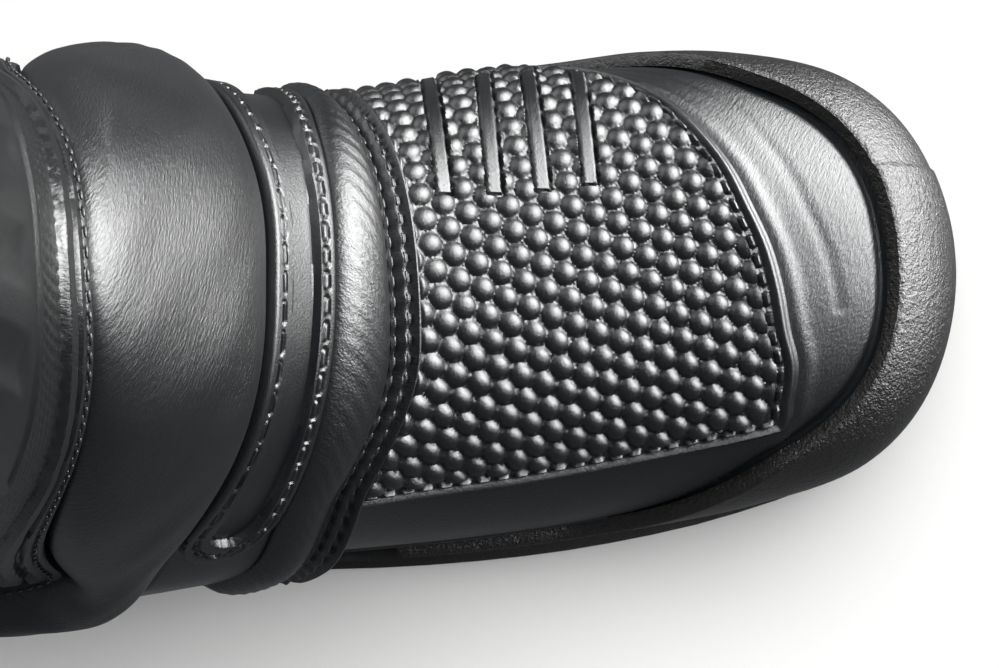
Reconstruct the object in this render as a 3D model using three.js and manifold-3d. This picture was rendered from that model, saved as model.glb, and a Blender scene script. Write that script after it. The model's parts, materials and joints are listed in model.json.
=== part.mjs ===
// A right-foot touring motorcycle boot: cemented rubber sole unit, lasted upper with a studded
// gear-shift pad, padded instep flex panels, a shaft with shin guard, and a medial zip closure.
// Millimetres, +X to the toe, +Y to the medial side, +Z up, standing on z = 0.
import * as THREE from "three";
import { mergeVertices } from "three/addons/utils/BufferGeometryUtils.js";
import Module from "manifold-3d";

const wasm = await Module();
wasm.setup();

// ---------------------------------------------------------------- driving dimensions
const SOLE_LENGTH = 306;
const BALL_WIDTH = 108; // across the sole at the ball of the foot
const TOP_HEIGHT = 288; // front edge of the collar above the ground
const TOE_SPRING = 11; // how far the toe of the tread lifts off the ground

const LEATHER = 2.3;
const PADDING = 2.0; // foam, stiffeners and lasting board share this layer
const LINING = 1.1;
const OVERLAY = 2.0; // panels sewn on top of the base leather
const GAP = 0.3; // clearance between neighbouring layers
const SEAM = 0.35; // half the space between two panels that meet edge to edge

const LUG_DEPTH = 4.5;
const NOTCH_WIDTH = 5;
const RUBBER_LAYER = 7.5; // tread rubber under the forefoot
const WELT = 2.0; // how far the sidewall sits inside the tread's edge
const RAND_THICKNESS = 3.4;
const ROLL_CROWN = 7.0; // how far the instep roll is stuffed above its seams
const COLLAR_CROWN = 2.6;

const FOOTBED_THICKNESS = 4.8;
const SHANK_THICKNESS = 1.5;

const ZIP_SLOT = 8; // half the width of the gap in the leather
const TAPE_REACH = 13; // from the middle of the zip to the tape's edge
const TAPE_THICKNESS = 0.8;
const COIL = { near: 0.7, far: 3.4, thickness: 2.0 };
const SLIDER = { length: 14, half: 5.2, plate: 1.1, web: 0.35 };
const STOP_LENGTH = 4;
const PULL = { length: 27, width: 7.5, thickness: 1.6, eye: 3.0 };
const LOOP_BAR = 1.1; // radius of the bar that the pull hangs on

const TAB_FOLD = 2.5; // width of the fold line between the tab and its sewn base
const FASTENER_THICKNESS = 1.0; // hook or loop patch

// ---------------------------------------------------------------- the last
// Stations of the base last, from the toe tip to the collar: the front line and the back line in
// side view, the half widths on the medial and lateral side, the sideways shift of the section and
// of its ridge, the share of the height at which it is widest, and how square its upper and lower
// halves are.  They are graded to the driving dimensions below.
const BASE = { length: 306, width: 108, top: 288, ankle: 130 };
const STATIONS = [
  // front x, z   back x, z   medial lateral shift ridge widest upper lower
  [301, 31, 301, 31, 0, 0, 5, 0, 0.42, 2.3, 3.0],
  [296, 49, 293, 20, 24, 24.5, 4.5, 0, 0.42, 2.3, 3.2],
  [284, 60, 275, 15, 40, 40, 3.5, 0, 0.4, 2.3, 3.4],
  [262, 67, 250, 13, 48, 45.5, 2, 1, 0.37, 2.3, 3.6],
  [236, 73, 222, 13, 50.5, 47.5, 0.5, 2, 0.35, 2.25, 3.6],
  [211, 81, 190, 15, 51, 48.5, -1, 3, 0.35, 2.2, 3.6],
  [187, 92, 156, 19, 47.5, 48.5, -2, 4, 0.37, 2.2, 3.5],
  [173, 107, 121, 25, 47, 48.5, -2, 4, 0.4, 2.25, 3.4],
  [161, 123, 84, 29, 49, 50.5, -2, 3, 0.42, 2.35, 3.3],
  [149, 142, 30, 29, 49.5, 50.5, -2, 2, 0.43, 2.4, 3.1],
  [139, 161, 4, 54, 49.5, 50, -2, 1, 0.45, 2.35, 2.5],
  [133, 182, 6, 94, 49.5, 49.5, -2, 0, 0.48, 2.25, 2.1],
  [130, 204, 13, 130, 50, 50, -2, 0, 0.5, 2.2, 2.1],
  [129, 226, 13, 162, 51.2, 51, -2, 0, 0.5, 2.2, 2.1],
  [128.5, 248, 6, 196, 52.5, 52, -2, 0, 0.5, 2.2, 2.1],
  [128, 270, -1, 230, 54, 53, -2, 0, 0.5, 2.2, 2.1],
  [128, 288, -5, 262, 55, 54, -2, 0, 0.5, 2.2, 2.1],
];
const TOP_STATION = STATIONS.length - 1;

// The sole's outline from heel to toe: x, lateral edge, medial edge.
const SOLE_OUTLINE = [
  [0, -3, -3],
  [6, -23, 18],
  [24, -37, 31],
  [55, -43, 37],
  [90, -47, 39],
  [125, -51.5, 42],
  [160, -55, 47.5],
  [195, -55.5, 54],
  [225, -53.5, 55.5],
  [255, -48.5, 55],
  [280, -40, 48.5],
  [298, -22, 31],
  [306, 3, 3],
];

const lengthGrade = SOLE_LENGTH / BASE.length;
const widthGrade = BALL_WIDTH / BASE.width;
const shaftGrade = (TOP_HEIGHT - BASE.ankle) / (BASE.top - BASE.ankle);
const gradeX = (x) => x * lengthGrade;
const gradeY = (y) => y * widthGrade;
const gradeZ = (z) => (z <= BASE.ankle ? z : BASE.ankle + (z - BASE.ankle) * shaftGrade);

const last = STATIONS.map(([fx, fz, bx, bz, medial, lateral, shift, ridge, ...shape]) => [
  gradeX(fx), gradeZ(fz), gradeX(bx), gradeZ(bz),
  gradeY(medial), gradeY(lateral), gradeY(shift), gradeY(ridge), ...shape,
]);
const outline = SOLE_OUTLINE.map(([x, lateral, medial]) => [gradeX(x), gradeY(lateral), gradeY(medial)]);

const clamp = (x, low, high) => Math.min(high, Math.max(low, x));
const mix = (a, b, t) => a + (b - a) * t;
const smoothstep = (low, high, x) => {
  const t = clamp((x - low) / (high - low), 0, 1);
  return t * t * (3 - 2 * t);
};

// Catmull-Rom through rows of numbers at whole parameters; before and after are the phantom rows.
function splineRow(rows, t, before, after) {
  const i = clamp(Math.floor(t), 0, rows.length - 2);
  const f = t - i;
  const p0 = i > 0 ? rows[i - 1] : before;
  const p3 = i + 2 < rows.length ? rows[i + 2] : after;
  return rows[i].map((p1, k) => {
    const p2 = rows[i + 1][k];
    const a = 2 * p1;
    const b = p2 - p0[k];
    const c = 2 * p0[k] - 5 * p1 + 4 * p2 - p3[k];
    const d = -p0[k] + 3 * p1 - 3 * p2 + p3[k];
    return (a + b * f + c * f * f + d * f ** 3) / 2;
  });
}

const toeMirror = (([fx, fz, bx, bz, medial, lateral, ...rest]) =>
  [bx, bz, fx, fz, -medial, -lateral, ...rest])(last[1]);
const topExtension = last[TOP_STATION].map((x, k) => 2 * x - last[TOP_STATION - 1][k]);
const stationAt = (u) => splineRow(last, u, toeMirror, topExtension);

// ---------------------------------------------------------------- the zip's line on the medial side
const ZIP_FOOT = new THREE.Vector3(gradeX(85), gradeY(46.8), gradeZ(78));
const ZIP_HEAD = new THREE.Vector3(gradeX(68.5), gradeY(51.2), gradeZ(238));
const zipLength = ZIP_FOOT.distanceTo(ZIP_HEAD);
const zipUp = ZIP_HEAD.clone().sub(ZIP_FOOT).normalize();
const zipOut = new THREE.Vector3(0, 1, 0).addScaledVector(zipUp, -zipUp.y).normalize();
const zipFore = zipOut.clone().cross(zipUp).normalize();
const LAND = { flat: 18, fade: 38 }; // the surface is flat beside the zip, then fades to its own curve

// A point of the upper's outer surface.  u runs along the stations and phi is the angle round the
// section in degrees: 0 is the instep and shin, 90 the medial side, 180 the sole and the heel.
function skin(u, phi) {
  const [fx, fz, bx, bz, medial, lateral, shift, ridge, widest, upper, lower] = stationAt(u);
  const angle = THREE.MathUtils.degToRad(phi);
  const c = Math.cos(angle);
  const s = Math.sin(angle);
  const span = Math.hypot(fx - bx, fz - bz);
  if (span < 1e-6) return new THREE.Vector3(fx, shift, fz);
  const [dx, dz] = [(fx - bx) / span, (fz - bz) / span];
  const half = s >= 0 ? medial : lateral;
  const reach = c >= 0 ? span * (1 - widest) : span * widest;
  const n = c >= 0 ? upper : lower;
  const r = (Math.abs(c / reach) ** n + Math.abs(s / half) ** n) ** (-1 / n);
  const along = span * widest + r * c;
  const point = new THREE.Vector3(
    bx + along * dx,
    shift + r * s + ridge * Math.max(0, c) ** 1.5,
    bz + along * dz,
  );
  return point.y > 0 ? flattened(point) : point;
}

function flattened(point) {
  const side = new THREE.Vector3(point.x - ZIP_FOOT.x, 0, point.z - ZIP_FOOT.z);
  const flatUp = new THREE.Vector3(zipUp.x, 0, zipUp.z).normalize();
  const along = side.dot(flatUp);
  const across = Math.abs(side.x * flatUp.z - side.z * flatUp.x);
  const weight = (1 - smoothstep(LAND.flat, LAND.fade, across)) * smoothstep(-28, -8, along);
  const target = ZIP_FOOT.y + (along * zipUp.y) / Math.hypot(zipUp.x, zipUp.z);
  point.y = mix(point.y, target, weight);
  return point;
}

function skinNormal(u, phi) {
  if (u < 0.03) return new THREE.Vector3(1, 0, 0);
  const [du, dphi] = [0.02, 0.5];
  const along = skin(Math.min(u + du, TOP_STATION + 1), phi).sub(skin(Math.max(u - du, 0.005), phi));
  const round = skin(u, phi + dphi).sub(skin(u, phi - dphi));
  return round.cross(along).normalize();
}

const offsetSkin = (u, phi, depth) => skin(u, phi).addScaledVector(skinNormal(u, phi), depth);

// ---------------------------------------------------------------- pattern coordinates
// v runs from the toe (0) over the foot's top line (1) and the shaft's lower line (2) to the collar
// (3), so that the seams of the real pattern are lines of constant v.
const wrapped = (phi) => ((((phi + 180) % 360) + 360) % 360) - 180;
function topLine(phi) {
  const side = Math.abs(wrapped(phi));
  const lateralRise = 0.35 * smoothstep(15, 50, -wrapped(phi));
  return 6.2 + lateralRise * (1 - smoothstep(86, 180, side)) + 2 * smoothstep(86, 110, side) + 2.8 * smoothstep(105, 180, side);
}
function shaftLine(phi) {
  const side = Math.abs(wrapped(phi));
  return 10.8 - 2.2 * smoothstep(0, 62, side) + 3.6 * smoothstep(70, 150, side);
}
function stationOf(v, phi) {
  if (v <= 1) return v * topLine(phi);
  if (v <= 2) return mix(topLine(phi), shaftLine(phi), v - 1);
  return mix(shaftLine(phi), TOP_STATION, v - 2);
}

// Every layer is drawn on the same lines, so that neighbours keep their gap between the vertices.
const V_LINES = [
  0.04, 0.1, 0.18, 0.28, 0.4, 0.52, 0.64, 0.76, 0.86, 0.9, 0.93, 1,
  1.11, 1.22, 1.33, 1.44, 1.55, 1.66, 1.77, 1.885, 2, 2.2, 2.4, 2.6, 2.8, 2.9, 3,
];
const PHI_STEP = 15;
const rowsBetween = (low, high) => V_LINES.filter((v) => v >= low && v <= high);
function columnsBetween(low, high) {
  const count = Math.round((high - low) / PHI_STEP);
  return Array.from({ length: count + 1 }, (_, i) => low + i * PHI_STEP);
}

// ---------------------------------------------------------------- solids
function toSolid(geometry) {
  const bare = geometry.index ? geometry.toNonIndexed() : geometry.clone();
  for (const name of Object.keys(bare.attributes)) if (name !== "position") bare.deleteAttribute(name);
  const merged = mergeVertices(bare, 1e-4);
  return new wasm.Manifold(new wasm.Mesh({
    numProp: 3,
    vertProperties: merged.attributes.position.array,
    triVerts: new Uint32Array(merged.index.array),
  }));
}

function toGeometry(solid) {
  const mesh = solid.getMesh();
  const position = new Float32Array(mesh.numVert * 3);
  for (let i = 0; i < mesh.numVert; i++)
    position.set(mesh.vertProperties.subarray(i * mesh.numProp, i * mesh.numProp + 3), i * 3);
  return new THREE.BufferGeometry()
    .setAttribute("position", new THREE.BufferAttribute(position, 3))
    .setIndex(new THREE.BufferAttribute(mesh.triVerts, 1));
}

// A closed body between two grids of points with the same size.  outer[i][j] and inner[i][j] share
// their place in the grid; a ring closes on itself in j, and a row whose points coincide is a pole.
function shellBetween(outer, inner, ring) {
  const rows = outer.length;
  const columns = outer[0].length;
  const index = (layer, i, j) => (layer * rows + i) * columns + (ring ? j % columns : j);
  const points = [...outer.flat(), ...inner.flat()];
  const faces = [];
  const same = (a, b) => points[a].distanceToSquared(points[b]) < 1e-8;
  const triangle = (a, b, c) => {
    if (!same(a, b) && !same(b, c) && !same(a, c)) faces.push(a, b, c);
  };
  const quad = (a, b, c, d) => {
    triangle(a, b, c);
    triangle(a, c, d);
  };
  const lastColumn = ring ? columns : columns - 1;
  for (let i = 0; i < rows - 1; i++)
    for (let j = 0; j < lastColumn; j++) {
      quad(index(0, i, j), index(0, i, j + 1), index(0, i + 1, j + 1), index(0, i + 1, j));
      quad(index(1, i, j), index(1, i + 1, j), index(1, i + 1, j + 1), index(1, i, j + 1));
    }
  for (let j = 0; j < lastColumn; j++) {
    quad(index(0, 0, j), index(1, 0, j), index(1, 0, j + 1), index(0, 0, j + 1));
    quad(index(0, rows - 1, j), index(0, rows - 1, j + 1), index(1, rows - 1, j + 1), index(1, rows - 1, j));
  }
  if (!ring)
    for (let i = 0; i < rows - 1; i++) {
      quad(index(0, i, 0), index(0, i + 1, 0), index(1, i + 1, 0), index(1, i, 0));
      const j = columns - 1;
      quad(index(0, i, j), index(1, i, j), index(1, i + 1, j), index(0, i + 1, j));
    }
  return new THREE.BufferGeometry().setFromPoints(points).setIndex(faces);
}

// A panel of the pattern: the rows and the span of degrees it covers, and the depths of its two
// faces over (+) or under (-) the outer surface.  The outer depth may be a function of the place
// in the panel, from 0 to 1 along the rows and across the span.  Without a span it is a full ring.
function panel({ rows, span, inner, outer, seam = SEAM }) {
  const ring = span === undefined;
  const vs = rowsBetween(...rows);
  const phis = columnsBetween(...(ring ? [-180, 180] : span));
  if (ring) phis.pop();
  const inset = (at, step, point) => seam / (point(at + step).distanceTo(point(at - step)) / (2 * step));
  const place = (i, j) => {
    let [v, phi] = [vs[i], phis[j]];
    const alongV = (t) => skin(stationOf(t, phi), phi);
    const alongPhi = (t) => skin(stationOf(v, t), t);
    if (i === 0) v += inset(v, 0.01, alongV);
    if (i === vs.length - 1) v -= inset(v, 0.01, alongV);
    if (!ring && j === 0) phi += inset(phi, 0.5, alongPhi);
    if (!ring && j === phis.length - 1) phi -= inset(phi, 0.5, alongPhi);
    return [stationOf(v, phi), phi];
  };
  const layer = (depth) =>
    vs.map((_, i) => phis.map((_, j) => {
      const [s, t] = [i / (vs.length - 1), j / (phis.length - 1)];
      return offsetSkin(...place(i, j), typeof depth === "function" ? depth(s, t) : depth);
    }));
  return toSolid(shellBetween(layer(outer), layer(inner), ring));
}

// The whole upper as one closed body whose surface lies at the given depth.
function form(depth) {
  const vs = [0, ...V_LINES];
  const phis = columnsBetween(-180, 180 - PHI_STEP);
  const rows = vs.map((v) => phis.map((phi) => offsetSkin(stationOf(v, phi), phi, depth)));
  const crown = rows[rows.length - 1];
  const middle = crown.reduce((sum, p) => sum.add(p), new THREE.Vector3()).divideScalar(crown.length);
  rows.push(phis.map(() => middle));
  const points = rows.flat();
  const faces = [];
  const n = phis.length;
  const at = (i, j) => i * n + (j % n);
  for (let i = 0; i < rows.length - 1; i++)
    for (let j = 0; j < n; j++) {
      if (i < rows.length - 2) faces.push(at(i, j), at(i + 1, j + 1), at(i + 1, j));
      if (i > 0) faces.push(at(i, j), at(i, j + 1), at(i + 1, j + 1));
    }
  return toSolid(new THREE.BufferGeometry().setFromPoints(points).setIndex(faces));
}

// A closed outline of [x, z] points in side view, as a prism between two y values.
function sidePrism(points, low, high) {
  const shape = new THREE.Shape(points.map(([x, z]) => new THREE.Vector2(x, z)));
  const geometry = new THREE.ExtrudeGeometry(shape, { depth: high - low, bevelEnabled: false });
  return toSolid(geometry.rotateX(Math.PI / 2).translate(0, high, 0));
}

// Everything between two lines of [x, z] points that share their x values.
const band = (lower, upper) => sidePrism([...lower, ...[...upper].reverse()], -150, 150);

function box(x, y, z, center = [0, 0, 0]) {
  return toSolid(new THREE.BoxGeometry(x, y, z).translate(...center));
}

function cylinderX(radius, length, center, sides = 16) {
  return toSolid(new THREE.CylinderGeometry(radius, radius, length, sides)
    .rotateZ(Math.PI / 2).translate(...center));
}

const join = (first, ...others) => others.reduce((sum, solid) => sum.add(solid), first);

// ---------------------------------------------------------------- sole unit
const SOLE_X = [-12, 4, 14, 30, 60, 78, 88, 112, 126, 150, 180, 205, 225, 245, 262, 278, 292, 301, 318].map(gradeX);
const heelEnd = gradeX(80);
const forefootStart = gradeX(122);
const springStart = gradeX(200);
const ARCH_RISE = 6;

// The ground side of the tread: heel, arch, forefoot and the spring of the toe.
function treadLine(x) {
  const spring = TOE_SPRING * clamp((x - springStart) / (SOLE_LENGTH - springStart), 0, 1.2) ** 2;
  const arch = ARCH_RISE * smoothstep(heelEnd - 4, heelEnd + 8, x) * (1 - smoothstep(forefootStart - 8, forefootStart + 4, x));
  const heelBevel = 3 * (1 - smoothstep(-2, gradeX(14), x));
  return spring + arch + heelBevel;
}
const treadTop = (x) => treadLine(x) + LUG_DEPTH + RUBBER_LAYER - 3 + 2.5 * (1 - smoothstep(gradeX(120), gradeX(200), x));

// The top edge of the sole's sidewall, and the top edge of the rand above it.
const featherLine = (x) => mix(38, 24, smoothstep(gradeX(30), gradeX(180), x)) + 9 * smoothstep(gradeX(235), gradeX(301), x) ** 1.5;
const randLine = (x) => featherLine(x) + 8 + 20 * smoothstep(gradeX(212), gradeX(262), x);
const lineOf = (height, shift = 0) => SOLE_X.map((x) => [x, height(x) + shift]);

function outlineSolid(inset, low, high) {
  const lateral = outline.map(([x, y]) => [x, y]);
  const medial = outline.map(([x, , y]) => [x, y]).reverse().slice(1, -1);
  const curve = new THREE.CatmullRomCurve3(
    [...lateral, ...medial].map(([x, y]) => new THREE.Vector3(x, y, 0)), true, "centripetal");
  const points = curve.getPoints(72).slice(0, -1);
  const shape = new THREE.Shape(points.map((p, i) => {
    const before = points[(i + points.length - 1) % points.length];
    const after = points[(i + 1) % points.length];
    const tangent = after.clone().sub(before).normalize();
    return new THREE.Vector2(p.x - tangent.y * inset, p.y + tangent.x * inset);
  }));
  return toSolid(new THREE.ExtrudeGeometry(shape, { depth: high - low, bevelEnabled: false }).translate(0, 0, low));
}

const LUG_PITCH = 21;
const SIDE_NOTCH_PITCH = 42; // notches that show on the sidewall of the forefoot
function treadGrooves() {
  const grooves = [];
  const cut = (x, halfLength, y, turn) => {
    const depth = LUG_DEPTH + treadLine(x);
    const geometry = new THREE.BoxGeometry(NOTCH_WIDTH, halfLength * 2, depth + 4)
      .rotateZ(THREE.MathUtils.degToRad(turn)).translate(x, y, (depth - 4) / 2);
    grooves.push(toSolid(geometry));
  };
  for (let x = gradeX(24); x < gradeX(70); x += LUG_PITCH) cut(x, 90, 0, 0);
  for (let x = gradeX(146); x < gradeX(292); x += gradeX(SIDE_NOTCH_PITCH)) {
    cut(x, 24, -gradeY(42), 9);
    cut(x + LUG_PITCH * 0.35, 24, gradeY(40), -9);
    cut(x + LUG_PITCH, 12, -gradeY(23), 9); // these stop short of the edge
    cut(x + LUG_PITCH * 1.35, 12, gradeY(21), -9);
  }
  const channelX = SOLE_X.filter((x) => x > forefootStart && x < gradeX(280));
  const floor = channelX.map((x) => [x, -5]);
  const roof = channelX.map((x) => [x, treadLine(x) + LUG_DEPTH * 0.8]).reverse();
  const channel = sidePrism([...floor, ...roof], -gradeY(2) - NOTCH_WIDTH / 2, -gradeY(2) + NOTCH_WIDTH / 2);
  return [...grooves, channel];
}

const outerForm = form(GAP);
const lugs = outlineSolid(0, -1, 60).intersect(band(lineOf(treadLine), lineOf(treadLine, LUG_DEPTH)));
const soleplate = outlineSolid(WELT, -1, 60).intersect(band(lineOf(treadLine), lineOf(treadTop)));
const outsole = treadGrooves().reduce((solid, groove) => solid.subtract(groove), lugs.add(soleplate));
const midsole = outlineSolid(WELT, -1, 90)
  .intersect(band(lineOf(treadTop, GAP), lineOf(featherLine)))
  .subtract(outerForm);
const randFore = gradeX(128);
const toeRand = form(GAP + RAND_THICKNESS)
  .subtract(outerForm)
  .intersect(band(lineOf(featherLine, GAP), lineOf(randLine)))
  .intersect(box(400, 400, 400, [randFore + 200, 0, 100]));
const randRoom = form(2 * GAP + RAND_THICKNESS).intersect(band(lineOf(featherLine), lineOf(randLine, GAP)));
const clearOfSole = (solid) => solid.intersect(band(lineOf(featherLine, GAP), lineOf(() => 400))).subtract(randRoom);

// ---------------------------------------------------------------- zip, in its own frame
const zipFrame = new THREE.Matrix4().makeBasis(zipFore, zipOut, zipUp).setPosition(ZIP_FOOT);
const onZip = (solid) => solid.transform(zipFrame.elements);
const zipBox = ([x0, x1], [y0, y1], [z0, z1]) =>
  onZip(box(x1 - x0, y1 - y0, z1 - z0, [(x0 + x1) / 2, (y0 + y1) / 2, (z0 + z1) / 2]));

const paddingTop = -(LEATHER + GAP);
const paddingBase = paddingTop - PADDING;
const liningTop = paddingBase - GAP;
const liningBase = liningTop - LINING;
const slot = zipBox([-ZIP_SLOT, ZIP_SLOT], [-20, 20], [-3, 120 + zipLength]);
const tapePocket = zipBox([-TAPE_REACH - GAP, TAPE_REACH + GAP],
  [-(LEATHER + 2 * GAP + TAPE_THICKNESS), -(LEATHER + 0.1)], [-6, 4 + zipLength]);
const tapeRoom = zipBox([-TAPE_REACH - GAP, TAPE_REACH + GAP], [-9, 6], [-8, 120 + zipLength]);
const behindZip = (solid) => solid.trimByPlane(zipFore.clone().negate().toArray(), -ZIP_FOOT.dot(zipFore));
const beforeZip = (solid) => solid.trimByPlane(zipFore.toArray(), ZIP_FOOT.dot(zipFore));

const tapeSpan = [-5, zipLength + 2];
const tapeFaces = [paddingTop - TAPE_THICKNESS, paddingTop];
const teethFaces = [paddingTop + GAP, paddingTop + GAP + COIL.thickness];
const teethSpan = [0, zipLength];
const sliderHigh = zipLength - STOP_LENGTH - 0.5 - SLIDER.length;

const PULL_EYE = 2.6;
const barPoint = [0, teethFaces[1] + 0.4 + SLIDER.plate + PULL_EYE + 0.4, sliderHigh + 4.5];

function zipSlider() {
  const z = [sliderHigh, sliderHigh + SLIDER.length];
  const top = teethFaces[1] + 0.4;
  const base = tapeFaces[0] - 0.4;
  const [, barY, barZ] = barPoint;
  const postHeight = barY - top + LOOP_BAR;
  const post = (side) => box(1.3, postHeight, 3, [side * 3.1, top + postHeight / 2, barZ]);
  return onZip(join(
    box(SLIDER.half * 2, SLIDER.plate, SLIDER.length, [0, top + SLIDER.plate / 2, (z[0] + z[1]) / 2]),
    box(SLIDER.half * 2, SLIDER.plate, SLIDER.length, [0, base - SLIDER.plate / 2, (z[0] + z[1]) / 2]),
    box(SLIDER.web * 2, top - base + 1, SLIDER.length - 4, [0, (top + base) / 2, (z[0] + z[1]) / 2]),
    post(1), post(-1),
    cylinderX(LOOP_BAR, 7.4, [0, barY, barZ], 12),
  ));
}
function zipPull() {
  const [, y, z] = barPoint;
  const eye = cylinderX(PULL_EYE, 4, [0, y, z], 16).subtract(cylinderX(LOOP_BAR + 0.35, 6, [0, y, z], 16));
  const neck = box(4, PULL.thickness, 3, [0, y, z - 3.4]);
  const plate = box(PULL.width, PULL.thickness, PULL.length, [0, y, z - 4.2 - PULL.length / 2]);
  const hole = box(PULL.eye, 6, 7, [0, y, z - PULL.length + 2]);
  return onZip(join(eye, neck, plate).subtract(hole));
}

// ---------------------------------------------------------------- closure tab above the slider
const tabSpan = [zipLength + 4, zipLength + 32];
const tabFaces = [GAP + 2 * (FASTENER_THICKNESS + GAP), GAP + 2 * (FASTENER_THICKNESS + GAP) + 2.2];
const foldX = 10;
const tabMiddle = (tabFaces[0] + tabFaces[1]) / 2;
const fastenerX = [-30, -12];

function tabPrism(points, [z0, z1]) {
  const shape = new THREE.Shape(points.map(([x, y]) => new THREE.Vector2(x, y)));
  return onZip(toSolid(new THREE.ExtrudeGeometry(shape, { depth: z1 - z0, bevelEnabled: false }).translate(0, 0, z0)));
}
const closureTab = tabPrism([
  [fastenerX[0] - 3, tabFaces[0]], [foldX - TAB_FOLD / 2 - GAP, tabFaces[0]],
  [foldX - TAB_FOLD / 2 - GAP, tabFaces[1]], [fastenerX[0] - 3, tabFaces[1]],
], tabSpan);
const tabFold = tabPrism([
  [foldX - TAB_FOLD / 2, tabMiddle - 0.6], [foldX + TAB_FOLD / 2, tabMiddle - 0.6],
  [foldX + TAB_FOLD / 2, tabMiddle + 0.6], [foldX - TAB_FOLD / 2, tabMiddle + 0.6],
], tabSpan);
const tabBase = tabPrism([
  [foldX + TAB_FOLD / 2 + GAP, GAP], [foldX + 16, GAP], [foldX + 16, GAP + 1.6],
  [foldX + 5, tabMiddle - 0.2], [foldX + TAB_FOLD / 2 + GAP, tabMiddle],
], tabSpan);

// ---------------------------------------------------------------- finger loop at the back
function pullLoop() {
  const foot = skin(TOP_STATION - 1.85, 180);
  const head = skin(TOP_STATION - 0.35, 180);
  const up = head.clone().sub(foot).normalize();
  const out = new THREE.Vector3(-up.z, 0, up.x);
  const length = head.distanceTo(foot);
  const at = (along, away) => {
    const p = foot.clone().addScaledVector(up, along).addScaledVector(out, away);
    return [p.x, p.z];
  };
  const [thick, bulge] = [2.0, 12];
  return sidePrism([
    at(-10, GAP + 0.2), at(4, GAP + 0.2), at(9, bulge - thick), at(length - 9, bulge - thick),
    at(length - 4, GAP + 0.2), at(length + 6, GAP + 0.2), at(length + 6, GAP + thick + 0.2),
    at(length - 2, GAP + thick + 0.4), at(length - 7, bulge), at(7, bulge),
    at(2, GAP + thick + 0.4), at(-10, GAP + thick + 0.2),
  ].reverse(), -11, 7);
}

// ---------------------------------------------------------------- the boot
const MATERIALS = {
  leather: new THREE.MeshStandardMaterial({ color: 0x24272b, roughness: 0.45 }),
  overlay: new THREE.MeshStandardMaterial({ color: 0x3a3f45, roughness: 0.5 }),
  stretch: new THREE.MeshStandardMaterial({ color: 0x1c1d20, roughness: 0.8 }),
  textile: new THREE.MeshStandardMaterial({ color: 0x5a5d62, roughness: 0.95 }),
  board: new THREE.MeshStandardMaterial({ color: 0x8a7a60, roughness: 0.9 }),
  rubber: new THREE.MeshStandardMaterial({ color: 0x18181a, roughness: 0.75 }),
  metal: new THREE.MeshStandardMaterial({ color: 0x9a9da2, metalness: 1, roughness: 0.35 }),
};

const boot = new THREE.Group();
boot.name = "riding_boot";
const design = new THREE.Group(); // everything in the design's own coordinates
boot.add(design);

function add(name, solid, material) {
  const mesh = new THREE.Mesh(toGeometry(solid), MATERIALS[material].clone());
  mesh.name = name;
  design.add(mesh);
}

const skinLayer = { inner: -LEATHER, outer: 0 };
const paddingLayer = { inner: paddingBase, outer: paddingTop };
const liningLayer = { inner: liningBase, outer: liningTop };
const cupLayer = { inner: paddingBase, outer: paddingTop - GAP }; // moulded cups sit a little deeper
const overlayLayer = { inner: GAP, outer: GAP + OVERLAY };
const crowned = (crown, edge = 0) => (s, t) =>
  edge + crown * Math.sin(Math.PI * s) ** 0.7 * Math.min(1, 3.2 * Math.sin(Math.PI * t));

// sole unit
add("outsole", outsole, "rubber");
add("midsole", midsole, "rubber");
add("toe_rand", toeRand, "rubber");

// inside the foot
add("insole_board", panel({ rows: [0.1, 0.86], span: [120, 240], ...paddingLayer }), "board");
add("steel_shank", panel({
  rows: [0.4, 0.86], span: [165, 195], inner: -LEATHER, outer: -LEATHER + SHANK_THICKNESS,
}), "metal");
add("footbed", panel({
  rows: [0.1, 0.86], span: [120, 240], inner: liningBase - GAP - FOOTBED_THICKNESS, outer: liningBase - GAP,
}), "textile");
add("toe_puff", panel({ rows: [0.04, 0.4], span: [-120, 120], ...paddingLayer }), "board");
add("vamp_padding", panel({ rows: [0.4, 1], span: [-120, 120], ...paddingLayer }), "textile");
add("heel_counter", panel({ rows: [0.86, 1], span: [120, 240], ...cupLayer, inner: paddingBase + GAP }), "board");
add("foot_lining", panel({ rows: [0.04, 1], ...liningLayer }), "textile");

// the foot's leather
add("vamp", panel({ rows: [0.04, 0.64], span: [-150, 150], ...skinLayer }), "leather");
add("instep_vamp", panel({ rows: [0.64, 1], span: [-75, 75], ...skinLayer }), "leather");
add("medial_quarter", panel({ rows: [0.64, 1], span: [75, 165], ...skinLayer }), "leather");
add("lateral_quarter", panel({ rows: [0.64, 1], span: [-165, -75], ...skinLayer }), "leather");
add("backstay", panel({ rows: [0.86, 1], span: [165, 195], ...skinLayer }), "leather");
add("shift_pad", clearOfSole(panel({ rows: [0.28, 1], span: [-75, 75], ...overlayLayer })), "overlay");
add("heel_overlay", clearOfSole(panel({ rows: [0.86, 1], span: [135, 225], ...overlayLayer })), "overlay");

// the ankle's flex zone
const notched = (solid) => solid.subtract(slot).subtract(tapePocket);
add("flex_band", panel({ rows: [1, 1.22], span: [-75, 75], inner: -LEATHER, outer: crowned(3) }), "leather");
add("instep_strap", panel({ rows: [1.22, 1.44], span: [-75, 75], inner: -LEATHER, outer: crowned(2.5) }), "overlay");
add("ankle_roll", beforeZip(notched(panel({
  rows: [1.44, 2], span: [-75, 75], inner: -LEATHER, outer: crowned(ROLL_CROWN),
}))), "leather");
const sideFlex = panel({ rows: [1, 2], span: [75, 150], ...skinLayer });
add("medial_flex_front", beforeZip(notched(sideFlex)), "stretch");
add("medial_flex_rear", behindZip(notched(sideFlex)), "stretch");
add("lateral_flex", panel({ rows: [1, 2], span: [-150, -75], ...skinLayer }), "stretch");
add("achilles_panel", panel({ rows: [1, 2], span: [150, 210], ...skinLayer }), "stretch");
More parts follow.
